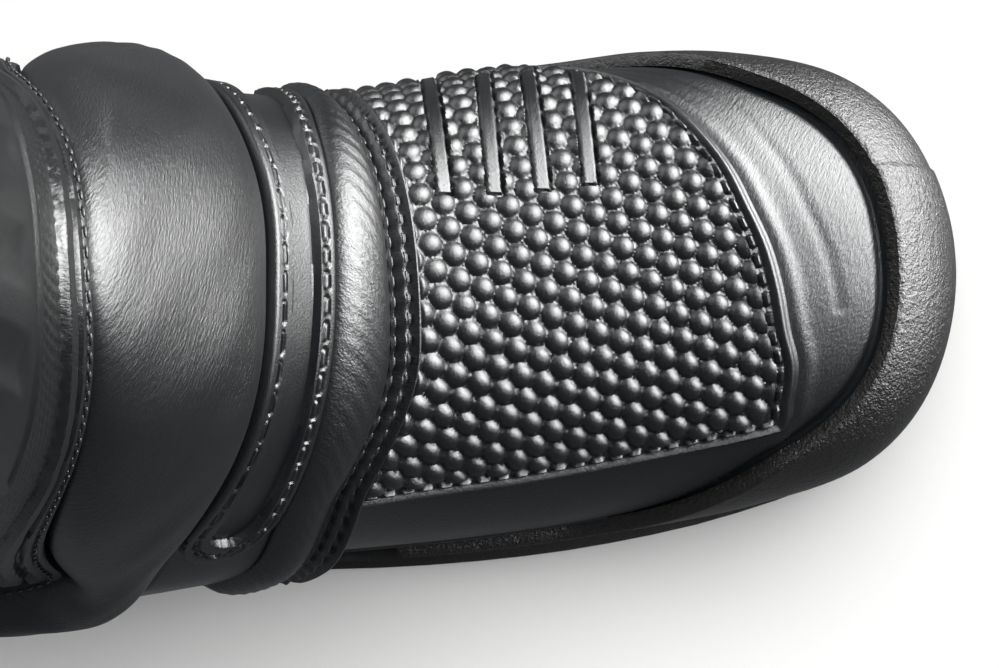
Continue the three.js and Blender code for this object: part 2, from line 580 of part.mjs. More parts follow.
add("front_ankle_padding", panel({ rows: [1, 2], span: [-75, 75], ...paddingLayer }).subtract(tapeRoom), "textile");
add("lateral_ankle_cup", panel({ rows: [1, 2], span: [-120, -75], ...cupLayer }), "board");
add("medial_ankle_cup", panel({ rows: [1, 2], span: [105, 150], ...cupLayer }).subtract(tapeRoom), "board");
add("rear_ankle_padding", panel({ rows: [1, 2], span: [150, 240], ...paddingLayer }), "textile");
add("ankle_lining", notched(panel({ rows: [1, 2], ...liningLayer })), "textile");

// the shaft
add("shin_panel", panel({ rows: [2, 2.9], span: [-60, 45], ...skinLayer }), "leather");
add("shin_plate", panel({
  rows: [2.2, 2.8], span: [-30, 30], inner: GAP, outer: crowned(1.6, GAP + OVERLAY),
}), "overlay");
add("lateral_shaft", panel({ rows: [2, 2.9], span: [-150, -60], ...skinLayer }), "leather");
const medialShaft = panel({ rows: [2, 2.9], span: [45, 150], ...skinLayer });
add("medial_shaft_front", beforeZip(notched(medialShaft)), "leather");
add("medial_shaft_rear", behindZip(notched(medialShaft)), "leather");
add("back_panel", panel({ rows: [2, 2.9], span: [150, 210], ...skinLayer }), "stretch");
add("shaft_padding", panel({ rows: [2, 2.9], ...paddingLayer }).subtract(tapeRoom), "textile");
add("shaft_lining", notched(panel({ rows: [2, 2.9], ...liningLayer })), "textile");
add("collar", notched(panel({
  rows: [2.9, 3], inner: liningBase, outer: (s) => COLLAR_CROWN * Math.sin(Math.PI * s),
})), "leather");
add("zip_gusset", panel({
  rows: [2, 2.9], span: [60, 120], inner: liningBase - GAP - 0.9, outer: liningBase - GAP,
}), "textile");

// zip
for (const [end, side] of [["front", 1], ["rear", -1]]) {
  const across = (low, high) => (side > 0 ? [low, high] : [-high, -low]);
  add(`zip_tape_${end}`, zipBox(across(COIL.near, TAPE_REACH), tapeFaces, tapeSpan), "textile");
  add(`zip_teeth_${end}`, zipBox(across(COIL.near, COIL.far), teethFaces, teethSpan), "metal");
  add(`zip_top_stop_${end}`,
    zipBox(across(COIL.near, COIL.far), [teethFaces[1] + GAP, teethFaces[1] + GAP + 1.2], [zipLength - STOP_LENGTH, zipLength]),
    "metal");
}
add("zip_bottom_stop",
  zipBox([-COIL.far, COIL.far], [teethFaces[1] + GAP, teethFaces[1] + GAP + 1.2], [0, STOP_LENGTH]), "metal");
add("zip_slider", zipSlider(), "metal");
add("zip_pull", zipPull(), "metal");

// closure tab
add("tab_base", tabBase, "leather");
add("tab_fold", tabFold, "leather");
add("closure_tab", closureTab, "leather");
add("hook_patch", zipBox(fastenerX, [GAP + FASTENER_THICKNESS + GAP, GAP + 2 * FASTENER_THICKNESS + GAP],
  [tabSpan[0] + 3, tabSpan[1] - 3]), "textile");
add("loop_patch", zipBox([fastenerX[0] - 2, fastenerX[1] + 2], [GAP, GAP + FASTENER_THICKNESS],
  [tabSpan[0] + 1, tabSpan[1] - 1]), "textile");
add("pull_loop", pullLoop(), "textile");

// origin at the middle of the footprint, on the ground
const bounds = new THREE.Box3().setFromObject(design);
const middle = bounds.getCenter(new THREE.Vector3());
design.position.set(-middle.x, -middle.y, -bounds.min.z);

export default boot;
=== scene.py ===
"""Motorcycle riding boot: every visible piece, laid on the boot's own last.

The pattern is written in millimetres, with x along the sole from the heel, y to the inner side and z up.
A Last turns a place on it (a station along the boot and a turn about it) into metres in the row frame.
"""

from __future__ import annotations

import json
import logging
import math
from collections.abc import Callable, Mapping, Sequence
from dataclasses import dataclass
from enum import Enum

import bmesh
import bpy
import numpy as np
from mathutils import Matrix, Vector

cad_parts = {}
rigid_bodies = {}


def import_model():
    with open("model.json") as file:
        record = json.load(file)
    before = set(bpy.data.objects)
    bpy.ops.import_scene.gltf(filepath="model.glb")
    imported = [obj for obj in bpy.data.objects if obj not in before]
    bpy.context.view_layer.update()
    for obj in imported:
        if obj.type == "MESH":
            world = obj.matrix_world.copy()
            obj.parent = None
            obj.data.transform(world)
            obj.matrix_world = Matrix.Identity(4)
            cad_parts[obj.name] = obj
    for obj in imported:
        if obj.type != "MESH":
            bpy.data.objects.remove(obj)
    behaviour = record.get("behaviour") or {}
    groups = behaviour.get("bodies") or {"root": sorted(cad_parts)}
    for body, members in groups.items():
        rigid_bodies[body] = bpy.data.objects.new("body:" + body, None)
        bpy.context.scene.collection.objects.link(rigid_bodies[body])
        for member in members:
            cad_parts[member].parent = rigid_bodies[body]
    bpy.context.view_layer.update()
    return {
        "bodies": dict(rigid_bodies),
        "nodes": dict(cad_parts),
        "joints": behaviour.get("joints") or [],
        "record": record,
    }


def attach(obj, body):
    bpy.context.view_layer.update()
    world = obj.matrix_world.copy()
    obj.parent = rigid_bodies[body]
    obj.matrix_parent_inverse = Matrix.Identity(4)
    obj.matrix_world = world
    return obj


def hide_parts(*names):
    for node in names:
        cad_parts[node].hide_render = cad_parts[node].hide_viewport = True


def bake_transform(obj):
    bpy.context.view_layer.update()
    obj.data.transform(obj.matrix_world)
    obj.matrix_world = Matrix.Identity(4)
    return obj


LOG = logging.getLogger("riding_boot")
MM = 0.001

Array = np.ndarray
Edge = Callable[[Array], Array]

# One row for each cut across the last: front x, z; back x, z; half width on the inner and outer side; middle;
# ridge; where it is widest; how square the upper and the lower half are.
STATIONS = (
    (301, 31, 301, 31, 0, 0, 5, 0, 0.42, 2.3, 3.0),
    (296, 49, 293, 20, 24, 24.5, 4.5, 0, 0.42, 2.3, 3.2),
    (284, 60, 275, 15, 40, 40, 3.5, 0, 0.4, 2.3, 3.4),
    (262, 67, 250, 13, 48, 45.5, 2, 1, 0.37, 2.3, 3.6),
    (236, 73, 222, 13, 50.5, 47.5, 0.5, 2, 0.35, 2.25, 3.6),
    (211, 81, 190, 15, 51, 48.5, -1, 3, 0.35, 2.2, 3.6),
    (187, 92, 156, 19, 47.5, 48.5, -2, 4, 0.37, 2.2, 3.5),
    (173, 107, 121, 25, 47, 48.5, -2, 4, 0.4, 2.25, 3.4),
    (161, 123, 84, 29, 49, 50.5, -2, 3, 0.42, 2.35, 3.3),
    (149, 142, 30, 29, 49.5, 50.5, -2, 2, 0.43, 2.4, 3.1),
    (139, 161, 4, 54, 49.5, 50, -2, 1, 0.45, 2.35, 2.5),
    (133, 182, 6, 94, 49.5, 49.5, -2, 0, 0.48, 2.25, 2.1),
    (130, 204, 13, 130, 50, 50, -2, 0, 0.5, 2.2, 2.1),
    (129, 226, 13, 162, 51.2, 51, -2, 0, 0.5, 2.2, 2.1),
    (128.5, 248, 6, 196, 52.5, 52, -2, 0, 0.5, 2.2, 2.1),
    (128, 270, -1, 230, 54, 53, -2, 0, 0.5, 2.2, 2.1),
    (128, 288, -5, 262, 55, 54, -2, 0, 0.5, 2.2, 2.1),
)
TOP_STATION = len(STATIONS) - 1
ANKLE = (74.0, 0.0, 92.0)  # the ankle hinge on the pattern, which ties the pattern to the row frame
ZIP_FOOT = np.array((85.0, 46.8, 78.0))
ZIP_HEAD = np.array((68.5, 51.2, 238.0))
ZIP_HALF_SLOT = 8.0
BEND_START = (74.0, 0.0, 88.0)  # the upper starts to turn with the shaft here
BEND_END = (74.0, 0.0, 142.0)
LEATHER = 2.3
STITCH_SAMPLES = 400  # places sampled along a sewn line
GLINT_FLECK_SIZE = 0.45  # painted glints: flecks of a second colour that stand for pores catching the light, on every surface


def smoothstep(low: float, high: float, x: Array) -> Array:
    """The smooth change from 0 at low to 1 at high, which may be the smaller."""
    f = np.clip((np.asarray(x, float) - low) / (high - low), 0, 1)
    return f * f * (3 - 2 * f)


def wrapped(turn: Array) -> Array:
    """A turn in degrees, brought to between -180 and 180."""
    return (np.asarray(turn, float) + 180) % 360 - 180


def constant(value: float) -> Edge:
    """An edge that stays at one turn or one station."""
    return lambda at: np.full_like(np.asarray(at, float), value)


class Body(Enum):
    """The moving bodies of the boot."""

    FOOT = "foot"
    SHAFT = "shaft"
    SLIDER = "zip_slider"
    PULL = "zip_pull"
    TAB = "closure_tab"


@dataclass(frozen=True)
class Line:
    """A smooth line round the boot, as the station that it runs at for each turn from the instep."""

    knots: tuple[tuple[float, float], ...]

    def __call__(self, turn: Array) -> Array:
        """The station at a turn.

        Args:
            turn: Turns in degrees, positive to the inner side.

        Returns:
            The stations.
        """
        x, y = np.array(self.knots, float).T
        turn = wrapped(turn)
        slope = np.gradient(y, x)
        i = np.clip(np.searchsorted(x, turn) - 1, 0, len(x) - 2)
        h = x[i + 1] - x[i]
        f = np.clip((turn - x[i]) / h, 0, 1)
        rise = (y[i + 1] - y[i]) * (3 * f**2 - 2 * f**3)
        return y[i] + rise + h * (slope[i] * (f - 2 * f**2 + f**3) + slope[i + 1] * (f**3 - f**2))


class Last:
    """The foot form that the whole upper is laid on."""

    def __init__(self, ankle: Sequence[float]) -> None:
        """Set up the form.

        Args:
            ankle: Where the ankle hinge is in the row frame, in metres.
        """
        rows = np.array(STATIONS, float)
        toe = rows[1]
        before = np.r_[toe[2], toe[3], toe[0], toe[1], -toe[4], -toe[5], toe[6:]]
        self.rows = np.vstack([before, rows, 2 * rows[-1] - rows[-2]])
        self.shift = np.array(ankle) / MM - np.array(ANKLE)
        rise = ZIP_HEAD - ZIP_FOOT
        self.zip_length = float(np.linalg.norm(rise))
        self.zip_up = rise / self.zip_length
        out = np.array((0.0, 1.0, 0.0)) - self.zip_up * self.zip_up[1]
        self.zip_out = out / np.linalg.norm(out)
        self.zip_fore = np.cross(self.zip_out, self.zip_up)
        self._zip_u = np.arange(6.4, 17.0, 0.05)
        self._zip_turns = {side: self._zip_line(side) for side in (-1.0, 1.0)}

    def skin(self, u: Array, turn: Array) -> Array:
        """Points of the form's surface on the pattern.

        Args:
            u: Stations along the boot.
            turn: Turns about it in degrees.

        Returns:
            Points in millimetres, on the last axis.
        """
        u, turn = np.broadcast_arrays(np.asarray(u, float), np.asarray(turn, float))
        i = np.clip(np.floor(u).astype(int), 0, TOP_STATION - 1)
        f = (u - i)[..., None]
        p0, p1, p2, p3 = (self.rows[i + k] for k in range(4))
        row = 0.5 * (2 * p1 + (p2 - p0) * f + (2 * p0 - 5 * p1 + 4 * p2 - p3) * f**2
                     + (-p0 + 3 * p1 - 3 * p2 + p3) * f**3)
        fx, fz, bx, bz, inner, outer, middle, ridge, widest, upper, lower = np.moveaxis(row, -1, 0)
        angle = np.radians(turn)
        c, s = np.cos(angle), np.sin(angle)
        span = np.hypot(fx - bx, fz - bz) + 1e-9
        half = np.maximum(np.where(s >= 0, inner, outer), 1e-6)
        reach = np.where(c >= 0, span * (1 - widest), span * widest)
        power = np.where(c >= 0, upper, lower)
        r = (np.abs(c / reach) ** power + np.abs(s / half) ** power) ** (-1 / power)
        along = (span * widest + r * c) / span
        y = middle + r * s + ridge * np.maximum(0, c) ** 1.5
        point = np.stack([bx + along * (fx - bx), y, bz + along * (fz - bz)], -1)
        return self._flattened(point)

    def _flattened(self, point: Array) -> Array:
        """The surface with its land for the zip pressed flat.

        Args:
            point: Points of the plain surface.

        Returns:
            The points after pressing.
        """
        up = np.array((self.zip_up[0], self.zip_up[2]))
        rise = np.linalg.norm(up)
        side = point[..., (0, 2)] - ZIP_FOOT[[0, 2]]
        along = side @ up / rise
        across = np.abs(side[..., 0] * up[1] - side[..., 1] * up[0]) / rise
        weight = (1 - smoothstep(18, 38, across)) * smoothstep(-28, -8, along) * (point[..., 1] > 0)
        target = ZIP_FOOT[1] + along * self.zip_up[1] / rise
        flat = point.copy()
        flat[..., 1] += weight * (target - point[..., 1])
        return flat

    def normal(self, u: Array, turn: Array) -> Array:
        """The unit normals, outwards.

        Args:
            u: Stations along the boot.
            turn: Turns about it in degrees.

        Returns:
            The normals, on the last axis.
        """
        u = np.maximum(u, 0.03)
        along = self.skin(u + 0.02, turn) - self.skin(u - 0.02, turn)
        around = self.skin(u, turn + 0.5) - self.skin(u, turn - 0.5)
        n = np.cross(around, along)
        return n / np.maximum(np.linalg.norm(n, axis=-1, keepdims=True), 1e-9)

    def raised(self, u: Array, turn: Array, height: Array) -> Array:
        """Points a height above the surface, in row-frame metres."""
        offset = self.normal(u, turn) * np.asarray(height, float)[..., None]
        return (self.skin(u, turn) + offset + self.shift) * MM

    def to_row(self, point: Sequence[float]) -> Vector:
        """A pattern point in row-frame metres."""
        return Vector((np.array(point, float) + self.shift) * MM)

    def zip_point(self, x: float, y: float, z: float) -> Vector:
        """A point given along the zip's own fore, out and up directions, in row-frame metres."""
        return self.to_row(ZIP_FOOT + x * self.zip_fore + y * self.zip_out + z * self.zip_up)

    def zip_matrix(self, x: float = 0, y: float = 0, z: float = 0) -> Matrix:
        """The frame that stands on the zip at a point, in row-frame metres."""
        axes = Matrix([list(a) for a in (self.zip_fore, self.zip_out, self.zip_up)]).transposed()
        return Matrix.Translation(self.zip_point(x, y, z)) @ axes.to_4x4()

    def _zip_line(self, side: float) -> Array:
        """The turn at each station where the slot's edge on one side runs.

        Args:
            side: 1 for the front edge, -1 for the rear one.

        Returns:
            The turns in degrees.
        """
        turns = np.arange(30.0, 150.0, 0.5)
        points = self.skin(self._zip_u[:, None], turns[None, :]) - ZIP_FOOT
        fore = points @ self.zip_fore
        height = np.take_along_axis(points @ self.zip_up, np.abs(fore).argmin(1)[:, None], 1)[:, 0]
        gap = side * np.where(height > -3.5, ZIP_HALF_SLOT, 0.3)
        return np.array([np.interp(-g, -f, turns) for g, f in zip(gap, fore)])

    def zip_edge(self, side: float, lead: float = 0.0) -> Edge:
        """The slot's edge as a turn for each station.

        Args:
            side: 1 for the front edge, -1 for the rear one.
            lead: Turns in degrees to add, 360 where a ring comes round to it.

        Returns:
            The edge.
        """
        return lambda u: np.interp(u, self._zip_u, self._zip_turns[side]) + lead

    def per_station(self, u: Array, turn: Array) -> Array:
        """Millimetres of surface for one station of travel."""
        step = self.skin(np.asarray(u) + 0.05, turn) - self.skin(np.asarray(u) - 0.05, turn)
        return np.linalg.norm(step, axis=-1) / 0.1

    def beside(self, line: Edge, distance: float) -> Edge:
        """A line moved along the boot by a distance in millimetres."""
        return lambda turn: line(turn) + distance / self.per_station(line(turn), turn)

    def girth(self, u: Array, turn: Array) -> Array:
        """Millimetres round the boot from the instep to each place.

        Args:
            u: Stations along the boot.
            turn: Turns about it in degrees.

        Returns:
            The millimetres, positive to the inner side.
        """
        us = np.linspace(0.2, 8, 80)
        turns = np.linspace(-100, 100, 201)
        walk = np.linalg.norm(np.diff(self.skin(us[:, None], turns[None, :]), axis=1), axis=-1)
        total = np.concatenate([np.zeros((len(us), 1)), np.cumsum(walk, 1)], 1)
        total -= total[:, [100]]
        a = np.clip((np.asarray(u) - us[0]) / (us[1] - us[0]), 0, len(us) - 1.001)
        b = np.clip(np.asarray(turn) + 100, 0, 199.999)
        i, j = a.astype(int), b.astype(int)
        p, q = a - i, b - j
        return ((total[i, j] * (1 - p) + total[i + 1, j] * p) * (1 - q)
                + (total[i, j + 1] * (1 - p) + total[i + 1, j + 1] * p) * q)


def vamp_top(turn: Array) -> Array:
    """The seam where the foot's upper ends, from the instep round to the heel.

    Args:
        turn: Turns in degrees from the instep.

    Returns:
        The stations.
    """
    turn = wrapped(turn)
    side = np.abs(turn)
    outer_rise = 0.35 * smoothstep(15, 50, -turn) * (1 - smoothstep(86, 180, side))
    return 6.2 + outer_rise + 2 * smoothstep(86, 110, side) + 2.8 * smoothstep(105, 180, side)


def shaft_seam(turn: Array) -> Array:
    """The seam where the stiff shaft begins: an arch over the shin, higher again at the back."""
    side = np.abs(wrapped(turn))
    return 10.8 - 2.2 * smoothstep(0, 62, side) + 3.6 * smoothstep(70, 150, side)


def feather_line(x: Array) -> Array:
    """The height of the line where the upper meets the sole."""
    return 38 - 14 * smoothstep(30, 180, x) + 9 * smoothstep(235, 301, x) ** 1.5


def rand_top(x: Array) -> Array:
    """The height of the rand's upper edge."""
    return feather_line(x) + 8 + 20 * smoothstep(212, 262, x)


def row_line(v: float) -> Edge:
    """A line at a share of the way up: 0 to 1 in the foot, 1 to 2 in the flex zone, 2 to 3 in the shaft.

    Args:
        v: The share.

    Returns:
        The line.
    """
    if v <= 1:
        return lambda turn: v * vamp_top(turn)
    if v <= 2:
        return lambda turn: vamp_top(turn) + (v - 1) * (shaft_seam(turn) - vamp_top(turn))
    return lambda turn: shaft_seam(turn) + (v - 2) * (TOP_STATION - shaft_seam(turn))


@dataclass(frozen=True)
class Field:
    """A grid over a patch, with each point's distance in millimetres from the patch's four edges."""

    u: Array
    turn: Array
    tail: Array
    head: Array
    left: Array
    right: Array
    point: Array  # the place on the last itself

    @property
    def floor(self) -> Array:
        """The height over the floor."""
        return self.point[..., 2]

    @property
    def rim(self) -> Array:
        """The distance to the nearest edge."""
        return np.minimum(np.minimum(self.tail, self.head), np.minimum(self.left, self.right))


@dataclass(frozen=True)
class Patch:
    """A four-sided piece of the last, between two lines and two turns."""

    low: Edge
    high: Edge
    start: Edge
    stop: Edge

    def field(self, last: Last, rows: int, columns: int) -> Field:
        """Spread a grid over the patch.

        Args:
            last: The form.
            rows: Cells along the boot.
            columns: Cells round it.

        Returns:
            The grid.
        """
        s = np.linspace(0, 1, rows + 1)[:, None]
        t = np.linspace(0, 1, columns + 1)[None, :]
        u = np.full((rows + 1, columns + 1), 8.0)
        turn = self.start(u) + t * (self.stop(u) - self.start(u))
        for _ in range(8):
            u = self.low(turn) + s * (self.high(turn) - self.low(turn))
            turn = self.start(u) + t * (self.stop(u) - self.start(u))
        point = last.skin(u, turn)
        tail = _walked(point, 0)
        left = _walked(point, 1)
        return Field(u, turn, tail, tail[-1:] - tail, left, left[:, -1:] - left, point)


@dataclass(frozen=True)
class SolePatch:
    """The toe rand's band, between two heights above the floor that follow the sole."""

    low: Edge
    high: Edge
    reach: float

    def field(self, last: Last, rows: int, columns: int) -> Field:
        """Spread a grid over the band, from the outer side round the toe to the inner side.

        Args:
            last: The form.
            rows: Cells up the band.
            columns: Cells along it.

        Returns:
            The grid.
        """
        q = np.linspace(-self.reach, self.reach, columns + 1)[:, None]
        p = np.linspace(-1.2, 2.9, 240)[None, :]
        point = last.skin(np.hypot(p, q), np.degrees(np.arctan2(q, p)))
        edges = []
        for line in (self.low, self.high):
            above = point[..., 2] - line(point[..., 0])
            edges.append(np.array([np.interp(0, a, p[0]) for a in np.maximum.accumulate(above, 1)]))
        s = np.linspace(0, 1, rows + 1)[:, None]
        across = edges[0] + s * (edges[1] - edges[0])
        u = np.maximum(np.hypot(across, q.T), 0.02)
        turn = np.degrees(np.arctan2(np.broadcast_to(q.T, across.shape), across))
        point = last.skin(u, turn)
        tail, left = _walked(point, 0), _walked(point, 1)
        return Field(u, turn, tail, tail[-1:] - tail, left, left[:, -1:] - left, point)


def _walked(point: Array, axis: int) -> Array:
    """The distance walked from the first point along a grid's axis."""
    step = np.linalg.norm(np.diff(point, axis=axis), axis=-1)
    return np.concatenate([np.zeros_like(np.take(step, [0], axis)), np.cumsum(step, axis)], axis)


Relief = Callable[[Field], Array]


def rounded(distance: Array, radius: float) -> Array:
    """A quarter-round edge: 0 at the edge and 1 from a radius inwards."""
    return np.sqrt(1 - (1 - np.clip(distance / radius, 0, 1)) ** 2)


def bump(distance: Array, width: float) -> Array:
    """A smooth ridge of a width about a distance of 0."""
    return np.clip(1 - (2 * distance / width) ** 2, 0, 1) ** 1.3


def dashes(along: Array, across: Array, pitch: float, length: float, width: float) -> Array:
    """A row of round-ended dashes: 1 on the middle of each, 0 outside.

    Args:
        along: Millimetres along the row.
        across: Millimetres from its middle.
        pitch: From one dash to the next.
        length: The length of a dash.
        width: The width of a dash.

    Returns:
        The height, from 0 to 1.
    """
    run = np.abs((along % pitch) - pitch / 2)
    beyond = np.maximum(run - (length - width) / 2, 0)
    return np.clip(1 - (np.hypot(beyond, across) / (width / 2)) ** 2, 0, 1) ** 0.6


def level(height: float) -> Relief:
    """A relief at one height."""
    return lambda at: np.full_like(at.u, height)


@dataclass(frozen=True)
class Panel:
    """The shape of a flat leather panel: its thickness, its turned edge and its sewn row."""

    top: float = 0.0
    edge: float = 1.1
    drop: float = 1.0
    sewn: float = 3.2
    sunk: float = 0.35

    def __call__(self, at: Field) -> Array:
        """The height of the panel's face over the last."""
        sunk = self.sunk * bump(at.rim - self.sewn, 2.2)
        return self.top - self.drop * (1 - rounded(at.rim, self.edge)) - sunk


@dataclass(frozen=True)
class Cushion:
    """The shape of a stuffed panel: its base, its crown and how full its sides are."""

    base: float
    crown: float
    full: float = 0.55
    fade: float = 14.0
    crease: float = 0.0
    swell: float = 0.0

    def __call__(self, at: Field) -> Array:
        """The height of the cushion's face over the last.

        Args:
            at: The grid.

        Returns:
            The heights in millimetres.
        """
        share = at.tail / np.maximum(at.tail + at.head, 1e-6)
        across = np.clip(1 - np.abs(2 * share - 1) ** 2.3, 0, 1) ** self.full
        ends = rounded(np.minimum(at.left, at.right), self.fade)
        wave = self.crease * np.sin(at.left / 3.1 + 2.2 * np.sin(at.tail / 9)) * np.sin(math.pi * share)
        return self.base + (self.crown + self.swell * outer_swell(at.turn)) * across * ends + wave


def srgb(code: str) -> tuple[float, float, float, float]:
    """A linear colour from its sRGB hex code."""
    parts = [int(code[i:i + 2], 16) / 255 for i in (1, 3, 5)]
    return (*(c / 12.92 if c <= 0.04045 else ((c + 0.055) / 1.055) ** 2.4 for c in parts), 1.0)


def add_node(tree: bpy.types.NodeTree, kind: str, inputs: Mapping | None = None,
             **settings: object) -> bpy.types.Node:
    """Add a node with its settings and its inputs.

    Args:
        tree: The tree to add to.
        kind: The node's type.
        inputs: A value, or a socket to link, for each input's name or place.
        **settings: The node's own properties.

    Returns:
        The node.
    """
    made = tree.nodes.new(kind)
    for key, value in settings.items():
        setattr(made, key, value)
    for key, value in (inputs or {}).items():
        if isinstance(value, bpy.types.NodeSocket):
            tree.links.new(value, made.inputs[key])
        else:
            made.inputs[key].default_value = value
    return made


class Pattern(Enum):
    """How a surface's relief is laid out."""

    GRAIN = "grain"
    CAST = "cast"
    PEBBLE = "pebble"
    WEAVE = "weave"
    MESH = "mesh"
    PILE = "pile"
    BRUSHED = "brushed"


@dataclass(frozen=True)
class Finish:
    """A surface: its colours, its gloss and the size in millimetres and depth of its pattern."""

    name: str
    tone: str
    glint_fleck: str
    # The second colour: flecks of it are painted glints that stand for pores catching the light.
    pattern: Pattern
    size: float
    depth: float
    roughness: float = 0.45
    spread: float = 0.1
    metallic: float = 0.0
    crease: float = 0.0
    sheen: float = 0.0
    coat: float = 0.0

    def build(self) -> bpy.types.Material:
        """Make the material, or find it again.

        Returns:
            The material.
        """
        if self.name in bpy.data.materials:
            return bpy.data.materials[self.name]
        made = bpy.data.materials.new(self.name)
        made.use_nodes = True
        tree = made.node_tree
        tree.nodes.clear()
        place = add_node(tree, "ShaderNodeTexCoord").outputs["Object"]
        height = self._height(tree, place)
        # Painted glints: flecks of the second colour, in cloudy patches, stand for pores catching the light.
        cloud = add_node(tree, "ShaderNodeTexNoise", {"Vector": place, "Scale": 28.0, "Detail": 4.0})
        fine = add_node(tree, "ShaderNodeTexNoise", {
            "Vector": place, "Scale": 1 / (GLINT_FLECK_SIZE * MM), "Detail": 2.0})
        glint_speck = add_node(tree, "ShaderNodeMapRange", {
            "Value": fine.outputs["Fac"], "From Min": 0.52, "From Max": 0.78, "To Max": 0.55})
        share = add_node(tree, "ShaderNodeMath", {0: glint_speck.outputs[0], 1: cloud.outputs["Fac"]},
                         operation="MULTIPLY")
        colour = add_node(tree, "ShaderNodeMix", {
            "Factor": share.outputs[0], "A": srgb(self.tone), "B": srgb(self.glint_fleck)}, data_type="RGBA")
        gloss = add_node(tree, "ShaderNodeMapRange", {
            "Value": cloud.outputs["Fac"], "From Min": 0.3, "From Max": 0.7,
            "To Min": self.roughness - self.spread / 2, "To Max": self.roughness + self.spread / 2})
        relief = add_node(tree, "ShaderNodeBump", {
            "Height": height, "Distance": self.depth * MM, "Strength": 1.0})
        shader = add_node(tree, "ShaderNodeBsdfPrincipled", {
            "Base Color": colour.outputs["Result"], "Roughness": gloss.outputs[0],
            "Metallic": self.metallic, "Sheen Weight": self.sheen, "Sheen Roughness": 0.5,
            "Coat Weight": self.coat, "Coat Roughness": 0.35, "Normal": relief.outputs[0]})
        add_node(tree, "ShaderNodeOutputMaterial", {"Surface": shader.outputs[0]})
        return made

    def _height(self, tree: bpy.types.NodeTree, place: bpy.types.NodeSocket) -> bpy.types.NodeSocket:
        """The pattern's height, from 0 to 1.

        Args:
            tree: The material's tree.
            place: Object coordinates.

        Returns:
            The height's socket.
        """
        scale = 1 / (self.size * MM)
        if self.pattern is Pattern.WEAVE:
            cloth = add_node(tree, "ShaderNodeUVMap", uv_map="surface").outputs[0]
            waves = [add_node(tree, "ShaderNodeTexWave", {"Vector": cloth, "Scale": scale / 3.2},
                              bands_direction=way).outputs["Fac"] for way in ("X", "Y")]
            return add_node(tree, "ShaderNodeMath", {0: waves[0], 1: waves[1]},
                            operation="MAXIMUM").outputs[0]
        if self.pattern is Pattern.BRUSHED:
            drawn = add_node(tree, "ShaderNodeMapping", {"Vector": place, "Scale": (1.0, 1.0, 0.06)})
            return add_node(tree, "ShaderNodeTexNoise", {
                "Vector": drawn.outputs[0], "Scale": scale, "Detail": 3.0}).outputs["Fac"]
        if self.pattern is Pattern.GRAIN:
            laid = add_node(tree, "ShaderNodeUVMap", uv_map="surface").outputs[0]
            place = add_node(tree, "ShaderNodeMapping", {
                "Vector": laid, "Rotation": (0.0, 0.0, 0.35), "Scale": (1.0, 0.8, 1.0)}).outputs[0]
        cells = add_node(tree, "ShaderNodeTexVoronoi", {"Vector": place, "Scale": scale, "Randomness": 1.0},
                         feature="SMOOTH_F1" if self.pattern is Pattern.PEBBLE else "F1")
        if self.pattern is Pattern.MESH:
            return add_node(tree, "ShaderNodeMapRange", {
                "Value": cells.outputs["Distance"], "From Min": 0.2, "From Max": 0.5}).outputs[0]
        rough = add_node(tree, "ShaderNodeTexNoise", {
            "Vector": place, "Scale": scale * 2.3, "Detail": 3.0, "Roughness": 0.6})
        mixed = add_node(tree, "ShaderNodeMath", {
            0: cells.outputs["Distance"], 1: -0.6, 2: rough.outputs["Fac"]}, operation="MULTIPLY_ADD")
        if not self.crease:
            return mixed.outputs[0]
        bent = add_node(tree, "ShaderNodeTexNoise", {
            "Vector": place, "Scale": 130.0, "Detail": 5.0, "Roughness": 0.62, "Distortion": 1.0})
        fold = add_node(tree, "ShaderNodeMath", {0: bent.outputs["Fac"], 1: 0.5}, operation="SUBTRACT")
        line = add_node(tree, "ShaderNodeMath", {0: fold.outputs[0]}, operation="ABSOLUTE")
        sharp = add_node(tree, "ShaderNodeMapRange", {"Value": line.outputs[0], "From Max": 0.035})
        return add_node(tree, "ShaderNodeMath", {
            0: sharp.outputs[0], 1: self.crease, 2: mixed.outputs[0]}, operation="MULTIPLY_ADD").outputs[0]


# The hide's second colour is painted glints: lighter flecks that stand for pores catching the light.
HIDE_TONE = "#0b0f12"
HIDE_GLINT_FLECK = "#272d33"
# Full-grain cowhide, drum dyed and lightly waxed: fine pores, faint creases and a satin shine.
UPPER_LEATHER = Finish("waxed_cowhide", HIDE_TONE, HIDE_GLINT_FLECK, Pattern.GRAIN, 0.75, 0.10, 0.37, 0.08,
                       crease=0.05)
# Softer cowhide over foam, which wrinkles across its width when the ankle bends.
SOFT_LEATHER = Finish("soft_nappa_cowhide", HIDE_TONE, HIDE_GLINT_FLECK, Pattern.GRAIN, 0.8, 0.12, 0.36, 0.08,
                      crease=0.06)
# Moulded polyurethane skin for the shift pad: matt black with the speckle of the etched mould.
PAD = Finish("moulded_polyurethane", HIDE_TONE, "#30373e", Pattern.PEBBLE, 0.5, 0.07, 0.34, 0.08)
# Split leather and knitted stretch panels, dull and even.
STRETCH = Finish("coated_stretch_fabric", "#121518", "#2b3035", Pattern.WEAVE, 1.0, 0.18, 0.62, 0.08,
                 sheen=0.2)
# Vulcanised sole rubber: brownish black with a fine moulded tooth.
SOLE_RUBBER = Finish("vulcanised_rubber", "#0f0f0f", "#22211f", Pattern.PEBBLE, 0.9, 0.12, 0.50, 0.12)
# The rand's rubber comes out of a spark-eroded mould: coarse pebbles that glitter at the edges.
RAND_RUBBER = Finish("pebbled_rubber", "#0f0e0d", "#2c2925", Pattern.PEBBLE, 1.3, 0.35, 0.34, 0.1)
# Warp-knitted spacer lining with open cells.
LINING = Finish("knitted_spacer_lining", "#1d2125", "#3a4046", Pattern.MESH, 2.2, 0.5, 0.8, 0.1, sheen=0.35)
